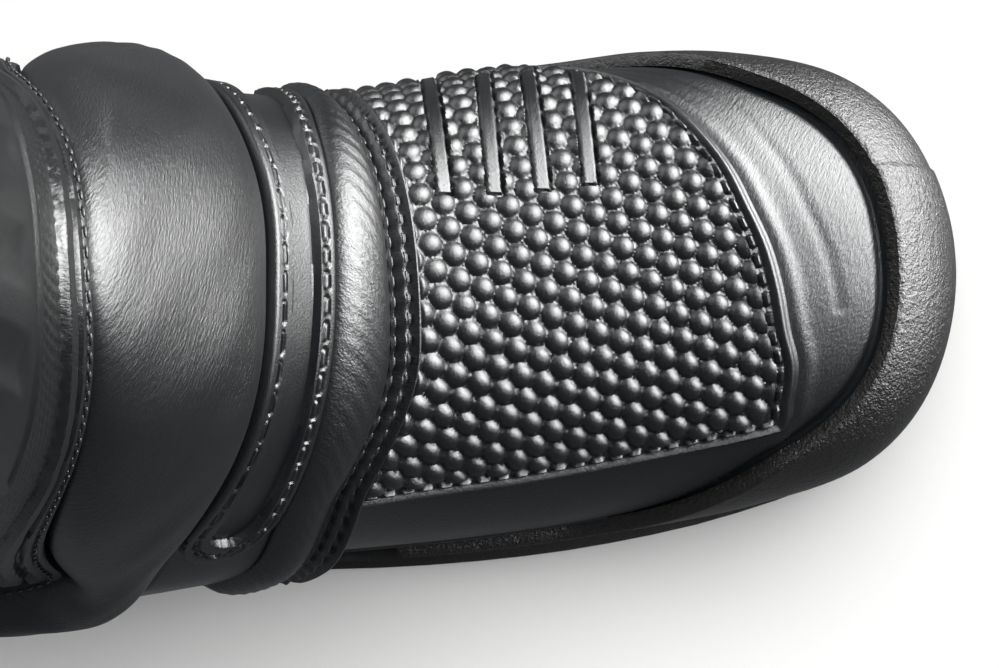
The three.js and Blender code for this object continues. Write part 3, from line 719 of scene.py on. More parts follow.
# Bonded sewing thread, 0.6 mm: slightly glossy and twisted.
THREAD = Finish("bonded_polyamide_thread", "#16191c", "#3b4046", Pattern.CAST, 0.5, 0.08, 0.42, 0.1)
# Zip tape: plain twill of spun polyester.
TAPE = Finish("twill_polyester_tape", "#121315", "#26292c", Pattern.WEAVE, 0.7, 0.12, 0.75, 0.08, sheen=0.25)
# Zip teeth: drawn nylon monofilament.
COIL = Finish("nylon_coil", "#1a1b1d", "#2d2f31", Pattern.CAST, 0.6, 0.03, 0.32, 0.06)
# Die-cast zinc with a black nickel plating.
ZINC = Finish("black_nickel_zinc", "#4a4c50", "#6a6d72", Pattern.BRUSHED, 0.6, 0.02, 0.30, 0.12, metallic=1.0)
# Hook tape: stiff moulded nylon nap. Loop tape: napped soft pile.
HOOK = Finish("moulded_hook_tape", "#141517", "#303236", Pattern.PILE, 0.8, 0.6, 0.6, 0.1)
LOOP = Finish("napped_loop_tape", "#17181a", "#2c2e31", Pattern.PILE, 1.4, 0.7, 0.85, 0.1, sheen=0.5)
# Flat polyester webbing.
WEBBING = Finish("polyester_webbing", "#141618", "#2b2e31", Pattern.WEAVE, 1.3, 0.3, 0.7, 0.08, sheen=0.25)
# Cemented fibre board, cold-rolled spring steel and open-cell foam, all closed in by the upper.
BOARD = Finish("pressed_fibre_board", "#6e5a44", "#8b745a", Pattern.CAST, 1.2, 0.1, 0.8, 0.1)
STEEL = Finish("cold_rolled_steel", "#8d9094", "#a4a7ab", Pattern.BRUSHED, 0.5, 0.02, 0.35, 0.1, metallic=1.0)
FOAM = Finish("open_cell_foam", "#3a3d40", "#55595d", Pattern.MESH, 1.1, 0.3, 0.9, 0.06)
STIFFENER = Finish("thermoplastic_stiffener", "#2a2c2e", "#3c3f42", Pattern.CAST, 1.0, 0.05, 0.5, 0.1)
# Uncoated paper for the studio floor, matt and pale.
PAPER = Finish("matt_paper_sweep", "#e4e4e2", "#dadad8", Pattern.CAST, 3, 0.01, 0.9, 0.05)
# Footbed cover: needled felt.
FELT = Finish("needled_felt", "#202326", "#3b3f44", Pattern.PILE, 1.2, 0.5, 0.9, 0.06, sheen=0.4)


@dataclass
class Workshop:
    """Where pieces are made: the frame, the last, and the steps that every piece goes through."""

    frame: Mapping
    last: Last

    def finished(self, name: str, bm: bmesh.types.BMesh, finish: Finish, slot: str,
                 crease_deg: float = 40.0) -> bpy.types.Object:
        """Turn a bmesh into a dressed object.

        Args:
            name: The piece's name.
            bm: Its shape, which is freed.
            finish: Its surface.
            slot: The record's material slot that it belongs to; not used.
            crease_deg: Edges that turn more than this stay sharp.

        Returns:
            The object.
        """
        for face in bm.faces:
            face.smooth = True
        limit = math.radians(crease_deg)
        for edge in bm.edges:
            edge.smooth = len(edge.link_faces) != 2 or edge.calc_face_angle(0.0) < limit
        mesh = bpy.data.meshes.new(name)
        bm.to_mesh(mesh)
        bm.free()
        made = bpy.data.objects.new(name, mesh)
        bpy.context.scene.collection.objects.link(made)
        mesh.materials.append(finish.build())
        LOG.info("%s: %d vertices, %s", name, len(mesh.vertices), finish.name)
        return made

    def bend(self, piece: bpy.types.Object) -> bpy.types.Object:
        """Bake a piece's placement into its mesh; nothing here turns it with the ankle.

        Args:
            piece: The piece.

        Returns:
            The same piece.
        """
        tuple(self.last.to_row(BEND_START))
        tuple(self.last.to_row(BEND_END))
        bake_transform(piece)
        return piece

    def lay(self, name: str, patch: Patch | SolePatch, under: float, over: Relief, finish: Finish, slot: str,
            replaces: Sequence[str] = (), cell: float = 1.6, bend: bool = True) -> bpy.types.Object:
        """Lay a closed sheet on the last.

        Args:
            name: The piece's name.
            patch: Where it lies.
            under: The height of its inner face over the last, in millimetres.
            over: The height of its outer face.
            finish: Its surface.
            slot: Its material slot.
            replaces: The CAD nodes that it stands for.
            cell: The size of a face in millimetres.
            bend: Whether its placement is baked into its mesh.

        Returns:
            The object.
        """
        rough = patch.field(self.last, 6, 12)
        rows = max(2, math.ceil(float((rough.tail + rough.head).max()) / cell))
        columns = max(3, math.ceil(float((rough.left + rough.right).max()) / cell))
        at = patch.field(self.last, rows, columns)
        faces = (self.last.raised(at.u, at.turn, np.full_like(at.u, under)),
                 self.last.raised(at.u, at.turn, over(at)))
        bm = bmesh.new()
        bmesh.ops.create_grid(bm, x_segments=rows, y_segments=columns, size=0.5)
        grown = bmesh.ops.extrude_face_region(bm, geom=bm.faces[:])
        for vertex in (g for g in grown["geom"] if isinstance(g, bmesh.types.BMVert)):
            vertex.co.z = 1.0
        cloth = []
        for vertex in bm.verts:
            i = round((vertex.co.x + 0.5) * rows)
            j = round((vertex.co.y + 0.5) * columns)
            vertex.co = faces[round(vertex.co.z)][i, j]
            cloth.append((at.left[i, j] * MM, at.tail[i, j] * MM))
        bmesh.ops.recalc_face_normals(bm, faces=bm.faces[:])
        made = self.finished(name, bm, finish, slot)
        layer = made.data.uv_layers.new(name="surface")
        corners = np.zeros(len(made.data.loops), int)
        made.data.loops.foreach_get("vertex_index", corners)
        layer.data.foreach_set("uv", np.array(cloth)[corners].ravel())
        if replaces:
            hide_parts(*replaces)
        if bend:
            self.bend(made)
        return made

    def sew(self, name: str, line: Edge, span: tuple[float, float], height: float,
            pitch: float = 3.6, length: float = 2.6, width: float = 0.7) -> bpy.types.Object:
        """Sew a row of stitches along a line round the boot.

        Args:
            name: The piece's name.
            line: The station for each turn.
            span: The first and last turn.
            height: The thread's height over the last in millimetres.
            pitch: From one stitch to the next.
            length: The length of a stitch.
            width: The thread's thickness.

        Returns:
            The object.
        """
        turns = np.linspace(*span, STITCH_SAMPLES)
        return self._stitched(name, line(turns), turns, height, (pitch, length, width))

    def sew_up(self, name: str, line: Edge, span: tuple[float, float], height: float,
               sizes: tuple[float, float, float] = (3.6, 2.6, 0.7)) -> bpy.types.Object:
        """Sew a row of stitches along the boot, at the turn that a line gives for each station."""
        stations = np.linspace(*span, STITCH_SAMPLES)
        return self._stitched(name, stations, line(stations), height, sizes)

    def _stitched(self, name: str, u: Array, turn: Array, height: float,
                  sizes: tuple[float, float, float]) -> bpy.types.Object:
        """Lay stitches along a run of places on the last.

        Args:
            name: The piece's name.
            u: Their stations.
            turn: Their turns.
            height: The thread's height over the last in millimetres.
            sizes: The pitch, the length of a stitch and the thread's thickness.

        Returns:
            The object.
        """
        pitch, length, width = sizes
        run = self.last.raised(u, turn, np.full_like(u, height))
        up = self.last.normal(u, turn)
        walked = np.concatenate([[0], np.cumsum(np.linalg.norm(np.diff(run, axis=0), axis=1))]) / MM
        bm = bmesh.new()
        for at in np.arange(pitch / 2, walked[-1], pitch):
            i = min(int(np.searchsorted(walked, at)), len(run) - 2)
            ahead = Vector(run[i + 1] - run[i - 1]).normalized()
            out = Vector(up[i])
            side = out.cross(ahead).normalized()
            axes = Matrix([ahead * length * MM, side * width * MM, out * width * MM]).transposed()
            place = Matrix.Translation(Vector(run[i])) @ axes.to_4x4()
            bmesh.ops.create_uvsphere(bm, u_segments=6, v_segments=6, radius=0.5, matrix=place)
        return self.bend(self.finished(name, bm, THREAD, "upper_leather", 80))

    def copied(self, node: str, name: str, finish: Finish, slot: str, bevel: float = 0.4,
               body: Body | None = None, crease_deg: float = 32.0) -> bpy.types.Object:
        """A CAD node's shape, merged, with its sharp edges rounded.

        Args:
            node: The node.
            name: The new piece's name.
            finish: Its surface.
            slot: Its material slot.
            bevel: The width of its rounded edges in millimetres.
            body: The body it rides on, or none where its placement is only baked into its mesh.
            crease_deg: Edges that turn more than this are rounded.

        Returns:
            The object.
        """
        bm = bmesh.new()
        bm.from_mesh(self.frame["nodes"][node].data)
        bmesh.ops.remove_doubles(bm, verts=bm.verts[:], dist=0.01 * MM)
        bmesh.ops.dissolve_limit(bm, angle_limit=math.radians(1.0), verts=bm.verts[:], edges=bm.edges[:])
        bmesh.ops.triangulate(bm, faces=bm.faces[:])
        made = self.finished(name, bm, finish, slot, crease_deg)
        layer = made.data.uv_layers.new(name="surface")
        places = np.array([v.co for v in made.data.vertices])
        corners = np.zeros(len(made.data.loops), int)
        made.data.loops.foreach_get("vertex_index", corners)
        layer.data.foreach_set("uv", places[corners][:, (0, 2)].ravel())
        if bevel:
            worn = made.modifiers.new("worn_edges", "BEVEL")
            worn.width = bevel * MM
            worn.segments = 2
            worn.limit_method = "ANGLE"
            worn.angle_limit = math.radians(crease_deg)
            worn.harden_normals = True
        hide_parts(node)
        if body is None:
            self.bend(made)
        else:
            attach(made, body.value)
        return made

    def dress(self, node: str, finish: Finish) -> None:
        """Give a CAD node that stays a material.

        Args:
            node: The node.
            finish: Its surface.
        """
        slots = self.frame["nodes"][node].data.materials
        slots.clear()
        slots.append(finish.build())


# Lines of the flex zone, each as turn and station.
BAND_TOP = Line(((-98, 7.25), (-64, 7.16), (-50, 7.22), (-27, 7.26), (-5, 7.2), (10, 7.12), (30, 6.93),
                 (50, 6.68), (78, 6.5)))
STRAP_TOP = Line(((-100, 7.95), (-64, 8.05), (-51, 8.14), (-35, 8.2), (-20, 8.18), (0, 8.1), (9, 8.03),
                  (24, 7.94), (48, 7.68), (78, 7.3)))
# The shift pad's front edge.
PAD_FRONT = Line(((-58, 3.05), (-54, 2.93), (-44, 2.88), (-35, 2.86), (-23, 2.93), (-9, 2.98), (6, 3.06),
                  (19, 3.18), (32, 3.31), (43, 3.48), (52, 3.64), (64, 4.0), (78, 4.6)))


@dataclass
class ShiftPad:
    """The moulded pad over the toes: domes in hexagonal cells, four bars and a ribbed border."""

    shop: Workshop
    slant: float = 1.06  # surface along the toes for each millimetre of x
    pitch: float = 5.25
    dome: float = 2.64
    dome_height: float = 1.6
    dome_power: float = 0.62
    web: float = 0.42
    web_half: float = 0.3
    tilt_deg: float = 8.0
    floor: float = 0.75
    bar_half: float = 1.65
    bar_height: float = 0.75
    bar_edge: float = 0.35
    bar_gutter: float = 0.45
    bars: tuple[tuple[float, float, float, float], ...] = (
        (5.32, 77, 5.67, 23), (5.0, 68, 5.27, 23.5), (4.68, 66, 4.88, 25), (4.3, 66, 4.48, 27))
    border: float = 5.6
    outer_turn: float = -54.0
    inner_turn: float = 78.0

    def _plan(self, u: Array, turn: Array) -> tuple[Array, Array]:
        """Flat coordinates of the mould in millimetres: along the boot and round it."""
        last = self.shop.last
        return last.skin(u, turn)[..., 0] * self.slant, last.girth(u, turn)

    def _cells(self, x: Array, y: Array) -> tuple[Array, Array]:
        """The distance to the nearest dome's middle, and to the web between two cells.

        Args:
            x: Millimetres along the mould.
            y: Millimetres round it.

        Returns:
            Both distances in millimetres.
        """
        tilt = math.radians(self.tilt_deg)
        a = (x * math.cos(tilt) + y * math.sin(tilt)) / (self.pitch * math.sqrt(3) / 2)
        b = (-x * math.sin(tilt) + y * math.cos(tilt)) / self.pitch
        nearest = np.full(x.shape, 1e9)
        second = np.full(x.shape, 1e9)
        for da in (-1, 0, 1):
            column = np.round(a) + da
            stagger = 0.5 * (column % 2)
            for db in (-1, 0, 1):
                row = np.round(b - stagger) + stagger + db
                gap = np.hypot((a - column) * self.pitch * math.sqrt(3) / 2, (b - row) * self.pitch)
                second = np.minimum(second, np.maximum(gap, nearest))
                nearest = np.minimum(nearest, gap)
        return nearest, (second - nearest) / 2

    def relief(self, at: Field) -> Array:
        """The height of the pad's face over the last.

        Args:
            at: The grid.

        Returns:
            The heights in millimetres.
        """
        x, y = self._plan(at.u, at.turn)
        middle, wall = self._cells(x, y)
        domes = self.dome_height * np.clip(1 - (middle / self.dome) ** 2, 0, 1) ** self.dome_power
        webs = self.web * np.clip(1.1 - wall / self.web_half, 0, 1)
        face = self.floor + np.maximum(domes, webs)
        for u0, turn0, u1, turn1 in self.bars:
            ends = [np.array(self._plan(np.array(u), np.array(t))) for u, t in ((u0, turn0), (u1, turn1))]
            run = ends[1] - ends[0]
            share = np.clip(((x - ends[0][0]) * run[0] + (y - ends[0][1]) * run[1]) / (run @ run), 0, 1)
            aside = np.abs(x - ends[0][0] - share * run[0])
            gap = np.maximum(aside, np.abs(y - ends[0][1] - share * run[1]) * 0.98)
            slope = np.clip((gap - self.bar_half + self.bar_edge) / self.bar_edge, 0, 1)
            bar = self.floor + self.bar_height - 0.5 * slope
            around = np.where(gap < self.bar_half + self.bar_gutter, self.floor - 0.1, face)
            face = np.where(gap < self.bar_half, bar, around)
        return self._edged(at, face)

    def _edged(self, at: Field, face: Array) -> Array:
        """The face with its border ridge and the moulded dashes inside it.

        Args:
            at: The grid.
            face: The heights without the border.

        Returns:
            The heights in millimetres.
        """
        front = np.minimum(at.tail, at.left * 1.15)
        along = np.where(at.tail < at.left, at.left, at.tail)
        ridge = self.floor + 0.9 * bump(front - 2.0, 2.4)
        row = self.floor - 0.15 + 1.15 * dashes(along, front - 4.3, 4.1, 3.1, 1.5)
        edge = np.where(front < 3.2, ridge, row)
        merged = np.where(front < self.border, np.maximum(edge, face * smoothstep(4.4, 6.4, front)), face)
        sides = np.minimum(np.minimum(front, at.head), at.right)
        return 0.3 + (merged - 0.3) * rounded(sides, 1.3)

    def build(self) -> None:
        """Mould the pad."""
        last = self.shop.last
        rear = last.beside(vamp_top, -3.4)
        patch = Patch(PAD_FRONT, rear, constant(self.outer_turn), constant(self.inner_turn))
        pad = self.shop.lay("shift_pad_moulding", patch, 0.02, self.relief, PAD, "moulded_pad",
                            ["shift_pad"], cell=0.42)
        LOG.info("%s: %d faces", pad.name, len(pad.data.polygons))


@dataclass
class FootUpper:
    """The leather of the foot: vamp, quarters, backstay and heel overlay, with their stitching."""

    shop: Workshop
    toe_hole: float = 0.3

    def build(self) -> None:
        """Cut and sew the foot's leather."""
        shop = self.shop

        def rear(turn: Array) -> Array:
            """The vamp's rear edge, which drops ahead of the quarters on both sides."""
            beyond = smoothstep(86, 95, np.abs(turn))
            return vamp_top(turn) * (1 - beyond) + 4.15 * beyond

        vamp = Patch(constant(self.toe_hole), rear, constant(-150), constant(150))
        shop.lay("vamp_leather", vamp, -LEATHER, self._vamp, UPPER_LEATHER, "upper_leather",
                 ["vamp", "instep_vamp"], cell=1.3)
        for name, node, start, stop in (("inner_quarter_leather", "medial_quarter", 88, 165),
                                        ("outer_quarter_leather", "lateral_quarter", -165, -88)):
            patch = Patch(constant(4.1), vamp_top, constant(start), constant(stop))
            shop.lay(name, patch, -LEATHER, Panel(0.5), UPPER_LEATHER, "upper_leather", [node])
        shop.lay("backstay_leather", Patch(row_line(0.86), vamp_top, constant(165), constant(195)), -LEATHER,
                 Panel(0.2), UPPER_LEATHER, "upper_leather", ["backstay"])
        shop.lay("heel_guard", Patch(row_line(0.87), row_line(0.995), constant(136), constant(224)), 0.3,
                 Panel(2.4, 1.8, 1.9, 4.0, 0.5), PAD, "moulded_pad", ["heel_overlay"], cell=1.0)
        shop.sew("quarter_stitching_inner", lambda turn: vamp_top(turn) - 0.24, (90, 160), 0.35)
        shop.sew("quarter_stitching_outer", lambda turn: vamp_top(turn) - 0.24, (-160, -98), 0.35)
        shop.sew("heel_guard_stitching", lambda turn: row_line(0.995)(turn) - 0.32, (142, 218), 2.2)

    @staticmethod
    def _vamp(at: Field) -> Array:
        """The vamp's face: smooth, with a soft welt just ahead of the pad, and sunk where the rand laps it.

        Args:
            at: The grid.

        Returns:
            The heights in millimetres.
        """
        ahead = (PAD_FRONT(at.turn) - at.u) * 20
        top = np.abs(wrapped(at.turn)) < 80
        welt = 0.55 * bump(ahead - 1.6, 3.4) * top
        fold = -0.25 * bump(ahead - 9.5, 3.0) * (np.abs(wrapped(at.turn) - 40) < 60)
        above = at.floor - rand_top(at.point[..., 0])
        return welt + fold - 1.3 * bump(above - 0.3, 3.4) * (at.u < 4.6)


def outer_swell(turn: Array) -> Array:
    """How far the flex zone's padding stands out at its outer end, in millimetres."""
    return 4.2 * smoothstep(-44, -72, turn) * smoothstep(-97, -86, turn)


@dataclass
class InstepSeam:
    """The thick seam over the instep: a turned edge, then two sewn rows with a gathered ridge between."""

    shop: Workshop
    half: float = 4.3
    pitch: float = 4.0
    rows: tuple[float, float] = (3.1, 6.8)

    def relief(self, at: Field) -> Array:
        """The height of the seam's face over the last.

        Args:
            at: The grid.

        Returns:
            The heights in millimetres.
        """
        gather = 0.5 + 0.5 * np.cos(2 * math.pi * at.left / self.pitch)
        fold = 2.3 * bump(at.tail - 1.15, 2.5)
        ridge = (2.1 + 0.45 * gather) * bump(at.tail - 4.95, 2.9)
        lip = (1.8 + 0.4 * gather) * bump(at.tail - 8.2, 2.4)
        bed = 0.15 + 0.35 * gather
        face = np.maximum(np.maximum(fold, ridge), np.maximum(lip, bed))
        shape = (face - 0.4) * rounded(np.minimum(at.left, at.right), 3) * rounded(at.tail, 0.5)
        return 0.4 + shape + outer_swell(at.turn)

    def build(self) -> None:
        """Sew the seam."""
        last = self.shop.last
        low = last.beside(vamp_top, -self.half)
        high = last.beside(vamp_top, self.half)
        self.shop.lay("instep_seam", Patch(low, high, constant(-96), constant(78)), 0.05, self.relief,
                      UPPER_LEATHER, "upper_leather", cell=0.42)
        for index, offset in enumerate(self.rows):
            line = last.beside(vamp_top, offset - self.half)
            self.shop.sew(f"instep_seam_thread_{index + 1}", line, (-95, 77), 0.95, self.pitch, 2.7, 0.75)


@dataclass
class FlexZone:
    """The soft ankle: flex band, instep strap, ankle roll, side panels and the ribbed panel at the back."""

    shop: Workshop
    dash_pitch: float = 4.1
    dash_length: float = 3.0
    u_turn: float = -46.0
    turn_length: float = 0.95  # millimetres round the instep for each degree

    def _strap(self, at: Field) -> Array:
        """The strap: two moulded bands with dashes, a sunk channel between, and a U that joins them.

        Args:
            at: The grid.

        Returns:
            The heights in millimetres.
        """
        middle = (at.tail - at.head) / 2
        across = middle - 0.1
        reach = (at.tail + at.head) / 2 - 3.1
        beyond = np.maximum((self.u_turn - at.turn) * self.turn_length, 0)
        ring = np.hypot(beyond, across)
        offset = ring - reach
        run = np.where(beyond > 0, -np.arctan2(beyond, np.abs(across)) * reach,
                       (at.turn - self.u_turn) * self.turn_length)
        wide = across < 0
        slot = np.where(wide, dashes(run, offset, self.dash_pitch, self.dash_length + 0.9, 2.3),
                        dashes(run, offset, self.dash_pitch, self.dash_length + 0.5, 1.35))
        thread = np.where(wide, dashes(run, offset, self.dash_pitch, self.dash_length, 1.35),
                          dashes(run, offset, self.dash_pitch, self.dash_length - 0.1, 0.7))
        inner = np.where(wide, reach - 1.7, reach - 2.5)
        channel = smoothstep(0.0, 0.7, inner - ring)
        rib = 0.5 * bump(ring - inner + 1.1, 0.9) * ~wide
        raised = 2.4 - 1.7 * channel + rib - 0.8 * slot + 0.9 * thread
        outside = smoothstep(2.1, 2.9, offset) * (beyond > 0)
        face = raised * (1 - outside) + 0.7 * outside
        return 0.3 + (face - 0.3) * rounded(np.minimum(at.tail, at.head), 1.2) + outer_swell(at.turn)

    @staticmethod
    def _band(at: Field) -> Array:
        """The flex band: a soft roll with fine wrinkles across it.

        Args:
            at: The grid.

        Returns:
            The heights in millimetres.
        """
        share = at.tail / (at.tail + at.head)
        crown = 3.4 * np.clip(1 - np.abs(2 * share - 1) ** 2.2, 0, 1) ** 0.6
        wrinkle = 0.10 * np.sin(at.left / 0.62 + 1.5 * np.sin(at.tail / 3.0)) * np.sin(math.pi * share) ** 2
        return 0.3 + crown + wrinkle + outer_swell(at.turn)

    @staticmethod
    def _achilles(at: Field) -> Array:
        """The back panel: bellows ribs that open and close with the ankle.

        Args:
            at: The grid.

        Returns:
            The heights in millimetres.
        """
        rib = 2.6 * np.abs(np.sin(math.pi * at.floor / 9.0)) ** 0.7
        inside = smoothstep(1, 5, np.minimum(at.left, at.right))
        inside = inside * smoothstep(2, 6, np.minimum(at.tail, at.head))
        return 0.2 + rib * inside - 1.0 * (1 - rounded(at.rim, 1.1))

    @staticmethod
    def _quilted(at: Field) -> Array:
        """A side panel: padded, with sewn lines across it."""
        puff = 1.3 * np.abs(np.sin(math.pi * (at.floor - 5) / 12.5)) ** 0.55
        return 0.1 + puff * rounded(at.rim, 6) - 1.0 * (1 - rounded(at.rim, 1.1))

    def build(self) -> None:
        """Make the flex zone."""
        shop, last = self.shop, self.shop.last
        start, stop = constant(-96), constant(76)
        band = shop.lay("flex_band_leather", Patch(last.beside(vamp_top, 3.6), BAND_TOP, start, stop),
                        -LEATHER, self._band, SOFT_LEATHER, "upper_leather", ["flex_band"], cell=0.7)
        strap = shop.lay("instep_strap_moulding", Patch(BAND_TOP, STRAP_TOP, start, stop), -LEATHER,
                         self._strap, PAD, "moulded_pad", ["instep_strap"], cell=0.36)
        roll_patch = Patch(last.beside(STRAP_TOP, 1.2), last.beside(shaft_seam, -0.6), constant(-100), stop)
        stuffing = Cushion(0.3, 7.4, 0.6, 16, 0.12, swell=0.7)
        roll = shop.lay("ankle_roll_leather", roll_patch, -LEATHER, stuffing, SOFT_LEATHER, "upper_leather",
                        ["ankle_roll"], cell=1.1)
        rear, front = last.zip_edge(-1), last.zip_edge(1)
        sides = (("inner_flex_front", "medial_flex_front", constant(76), front),
                 ("inner_flex_rear", "medial_flex_rear", rear, constant(150)),
                 ("outer_flex", "lateral_flex", constant(-150), constant(-96)))
        for name, node, left, right in sides:
            shop.lay(name, Patch(vamp_top, shaft_seam, left, right), -LEATHER, self._quilted, STRETCH,
                     "stretch", [node], cell=1.3)
        shop.lay("bellows_panel", Patch(vamp_top, shaft_seam, constant(150), constant(210)), -LEATHER,
                 self._achilles, SOFT_LEATHER, "upper_leather", ["achilles_panel"], cell=1.0)
        shop.sew("roll_stitching", last.beside(shaft_seam, 3.2), (-88, 44), 2.3)


@dataclass
class Shaft:
    """The stiff shaft: shin panel and plate, side panels, back panel, collar and pull loop."""

    shop: Workshop
    wall_top: float = 2.9
    loop_span: tuple[float, float] = (14.1, 15.7)
    loop_bulge: float = 12.0

    @staticmethod
    def _shin(at: Field) -> Array:
        """The shin panel: a flat raised hem, a second ridge, then a ribbed mesh field.

        Args:
            at: The grid.

        Returns:
            The heights in millimetres.
        """
        knots = ((0, 0.2), (0.8, 1.9), (6.0, 2.1), (6.7, 0.7), (7.6, 0.7), (8.6, 2.2), (12.0, 2.2),
                 (13.2, 0.5))
        distance, height = np.array(knots).T
        hem = np.interp(at.tail, distance, height) - 0.45 * bump(at.tail - 3.2, 1.8)
        ribs = 0.5 + 0.35 * np.abs(np.sin(math.pi * at.left / 2.4)) * np.abs(np.sin(math.pi * at.tail / 2.4))
        sides = np.minimum(at.left, at.right)
        face = np.where(at.tail < 13.2, hem, ribs * smoothstep(0, 4, at.head))
        return face - 1.0 * (1 - rounded(np.minimum(sides, at.head), 1.1))

    @staticmethod
    def _plate(at: Field) -> Array:
        """The shin plate: a moulded shield with three sunk flutes and a raised rim.

        Args:
            at: The grid.

        Returns:
            The heights in millimetres.
        """
        share = at.left / (at.left + at.right)
        flutes = sum(bump((share - centre) * 100, 13) for centre in (0.3, 0.5, 0.7))
        inside = smoothstep(6, 12, np.minimum(at.tail, at.head))
        rim = 0.7 * bump(at.rim - 3.0, 3.0)
        return 0.6 + (2.2 + rim - 1.1 * flutes * inside) * rounded(at.rim, 2.2)

    @staticmethod
    def _ribbed(at: Field) -> Array:
        """A side or back panel: leather with a sewn edge and two pressed lines."""
        pressed = sum(0.6 * bump(at.rim - inset, 2.4) for inset in (9.0, 14.0))
        return Panel(0.2)(at) + pressed

    def build(self) -> None:
        """Make the shaft."""
        shop, last = self.shop, self.shop.last
        top = row_line(self.wall_top)
        rear, front = last.zip_edge(-1), last.zip_edge(1)
        shop.lay("shin_leather", Patch(shaft_seam, top, constant(-62), constant(45)), -LEATHER, self._shin,
                 UPPER_LEATHER, "upper_leather", ["shin_panel"], cell=0.8)
        shop.lay("shin_shield", Patch(row_line(2.26), row_line(2.8), constant(-30), constant(30)), 0.3,
                 self._plate, PAD, "moulded_pad", ["shin_plate"], cell=0.9)
        walls = (("outer_shaft_leather", "lateral_shaft", constant(-150), constant(-62)),
                 ("inner_shaft_front_leather", "medial_shaft_front", constant(45), front),
                 ("inner_shaft_rear_leather", "medial_shaft_rear", rear, constant(150)),
                 ("back_leather", "back_panel", constant(150), constant(210)))
        for name, node, left, right in walls:
            shop.lay(name, Patch(shaft_seam, top, left, right), -LEATHER, self._ribbed, UPPER_LEATHER,
                     "upper_leather", [node], cell=1.2)
        ring = Patch(top, row_line(3.0), last.zip_edge(-1), last.zip_edge(1, 360))
        collar = shop.lay("collar_padding", ring, -6.0, Cushion(-0.6, 4.2, 0.5, 5), SOFT_LEATHER,
                          "upper_leather", ["collar"], cell=1.0)
        inset = Panel.sewn
        shop.sew("shin_hem_stitching", last.beside(shaft_seam, inset), (-60, 43), 1.75)
        shop.sew("collar_stitching", last.beside(top, -inset), (-60, 43), 0.1)
        shop.sew("outer_stitching", last.beside(shaft_seam, inset), (-148, -64), 0.05)
        shop.sew("back_stitching", last.beside(shaft_seam, inset), (152, 208), 0.05)
        for name, turn in (("outer_front_seam", -65.0), ("outer_rear_seam", -147.0),
                           ("back_outer_seam", 213.0), ("back_inner_seam", 147.0),
                           ("inner_front_seam", 48.0)):
            first = float(shaft_seam(np.array(turn))) + 0.2
            shop.sew_up(name, constant(turn), (first, float(top(np.array(turn))) - 0.2), 0.05)
        for name, edge, lead in (("zip_front_stitching", front, -2.6), ("zip_rear_stitching", rear, 2.6)):
            shop.sew_up(name, lambda u, e=edge, d=lead: e(u) + d, (9.4, 15.4), 0.1)
        self._loop()

    def _loop(self) -> None:
        """Sew on the pull loop: a webbing ribbon with its two ends tacked to the back panel."""
        shop, last = self.shop, self.shop.last
        bm = bmesh.new()
        bmesh.ops.create_grid(bm, x_segments=40, y_segments=10, size=0.5)
        grown = bmesh.ops.extrude_face_region(bm, geom=bm.faces[:])
        for vertex in (g for g in grown["geom"] if isinstance(g, bmesh.types.BMVert)):
            vertex.co.z = 1.0
        for vertex in bm.verts:
            share = vertex.co.x + 0.5
            station = self.loop_span[0] + share * (self.loop_span[1] - self.loop_span[0])
            arch = self.loop_bulge * math.sin(math.pi * min(max((share - 0.14) / 0.72, 0), 1)) ** 0.8
            base = last.skin(np.array(station), np.array(180.0)) + last.normal(
                np.array(station), np.array(180.0)) * (arch + 0.4 + 1.8 * vertex.co.z)
            base[1] = -2.0 + 9.0 * 2 * vertex.co.y
            vertex.co = last.to_row(base)
        bmesh.ops.recalc_face_normals(bm, faces=bm.faces[:])
        made = shop.finished("heel_pull_loop", bm, WEBBING, "webbing")
        surface = made.data.uv_layers.new(name="surface")
        for corner in made.data.loops:
            place = made.data.vertices[corner.vertex_index].co
            surface.data[corner.index].uv = (place.y, place.z)
        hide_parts("pull_loop")
        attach(made, Body.SHAFT.value)


@dataclass
class Inside:
    """What shows down the shaft and what the leather hides: linings, padding, footbed, cups and board."""

    shop: Workshop

    def build(self) -> None:
        """Line the boot."""
        shop, last = self.shop, self.shop.last
        around = (constant(180), constant(540))
        shop.lay("foot_spacer_lining", Patch(constant(0.4), vamp_top, *around), -6.0, level(-4.9), LINING,
                 "lining", ["foot_lining"], cell=3)
        slotted = (last.zip_edge(-1), last.zip_edge(1, 360))
        shop.lay("shaft_spacer_lining", Patch(vamp_top, row_line(2.9), *slotted), -6.0, level(-4.9), LINING,
                 "lining", ["shaft_lining"], cell=3)
        shop.lay("vamp_foam", Patch(constant(2.0), vamp_top, constant(-78), constant(78)), -4.6, level(-2.6),
                 FOAM, "foam", ["vamp_padding"], cell=4)
        foam = shop.lay("shaft_foam", Patch(vamp_top, row_line(2.9), *slotted), -4.6, level(-2.6), FOAM,
                        "foam", ["shaft_padding"], cell=4)
        shop.lay("zip_gusset_cloth", Patch(shaft_seam, row_line(2.9), constant(60), constant(120)), -8.2,
                 level(-6.9), LINING, "lining", ["zip_gusset"], cell=2)
        shop.copied("footbed", "footbed_felt", FELT, "footbed", 0.8, Body.FOOT)
        for node, finish in (("insole_board", BOARD), ("steel_shank", STEEL), ("toe_puff", STIFFENER),
                             ("heel_counter", STIFFENER)):
            shop.dress(node, finish)


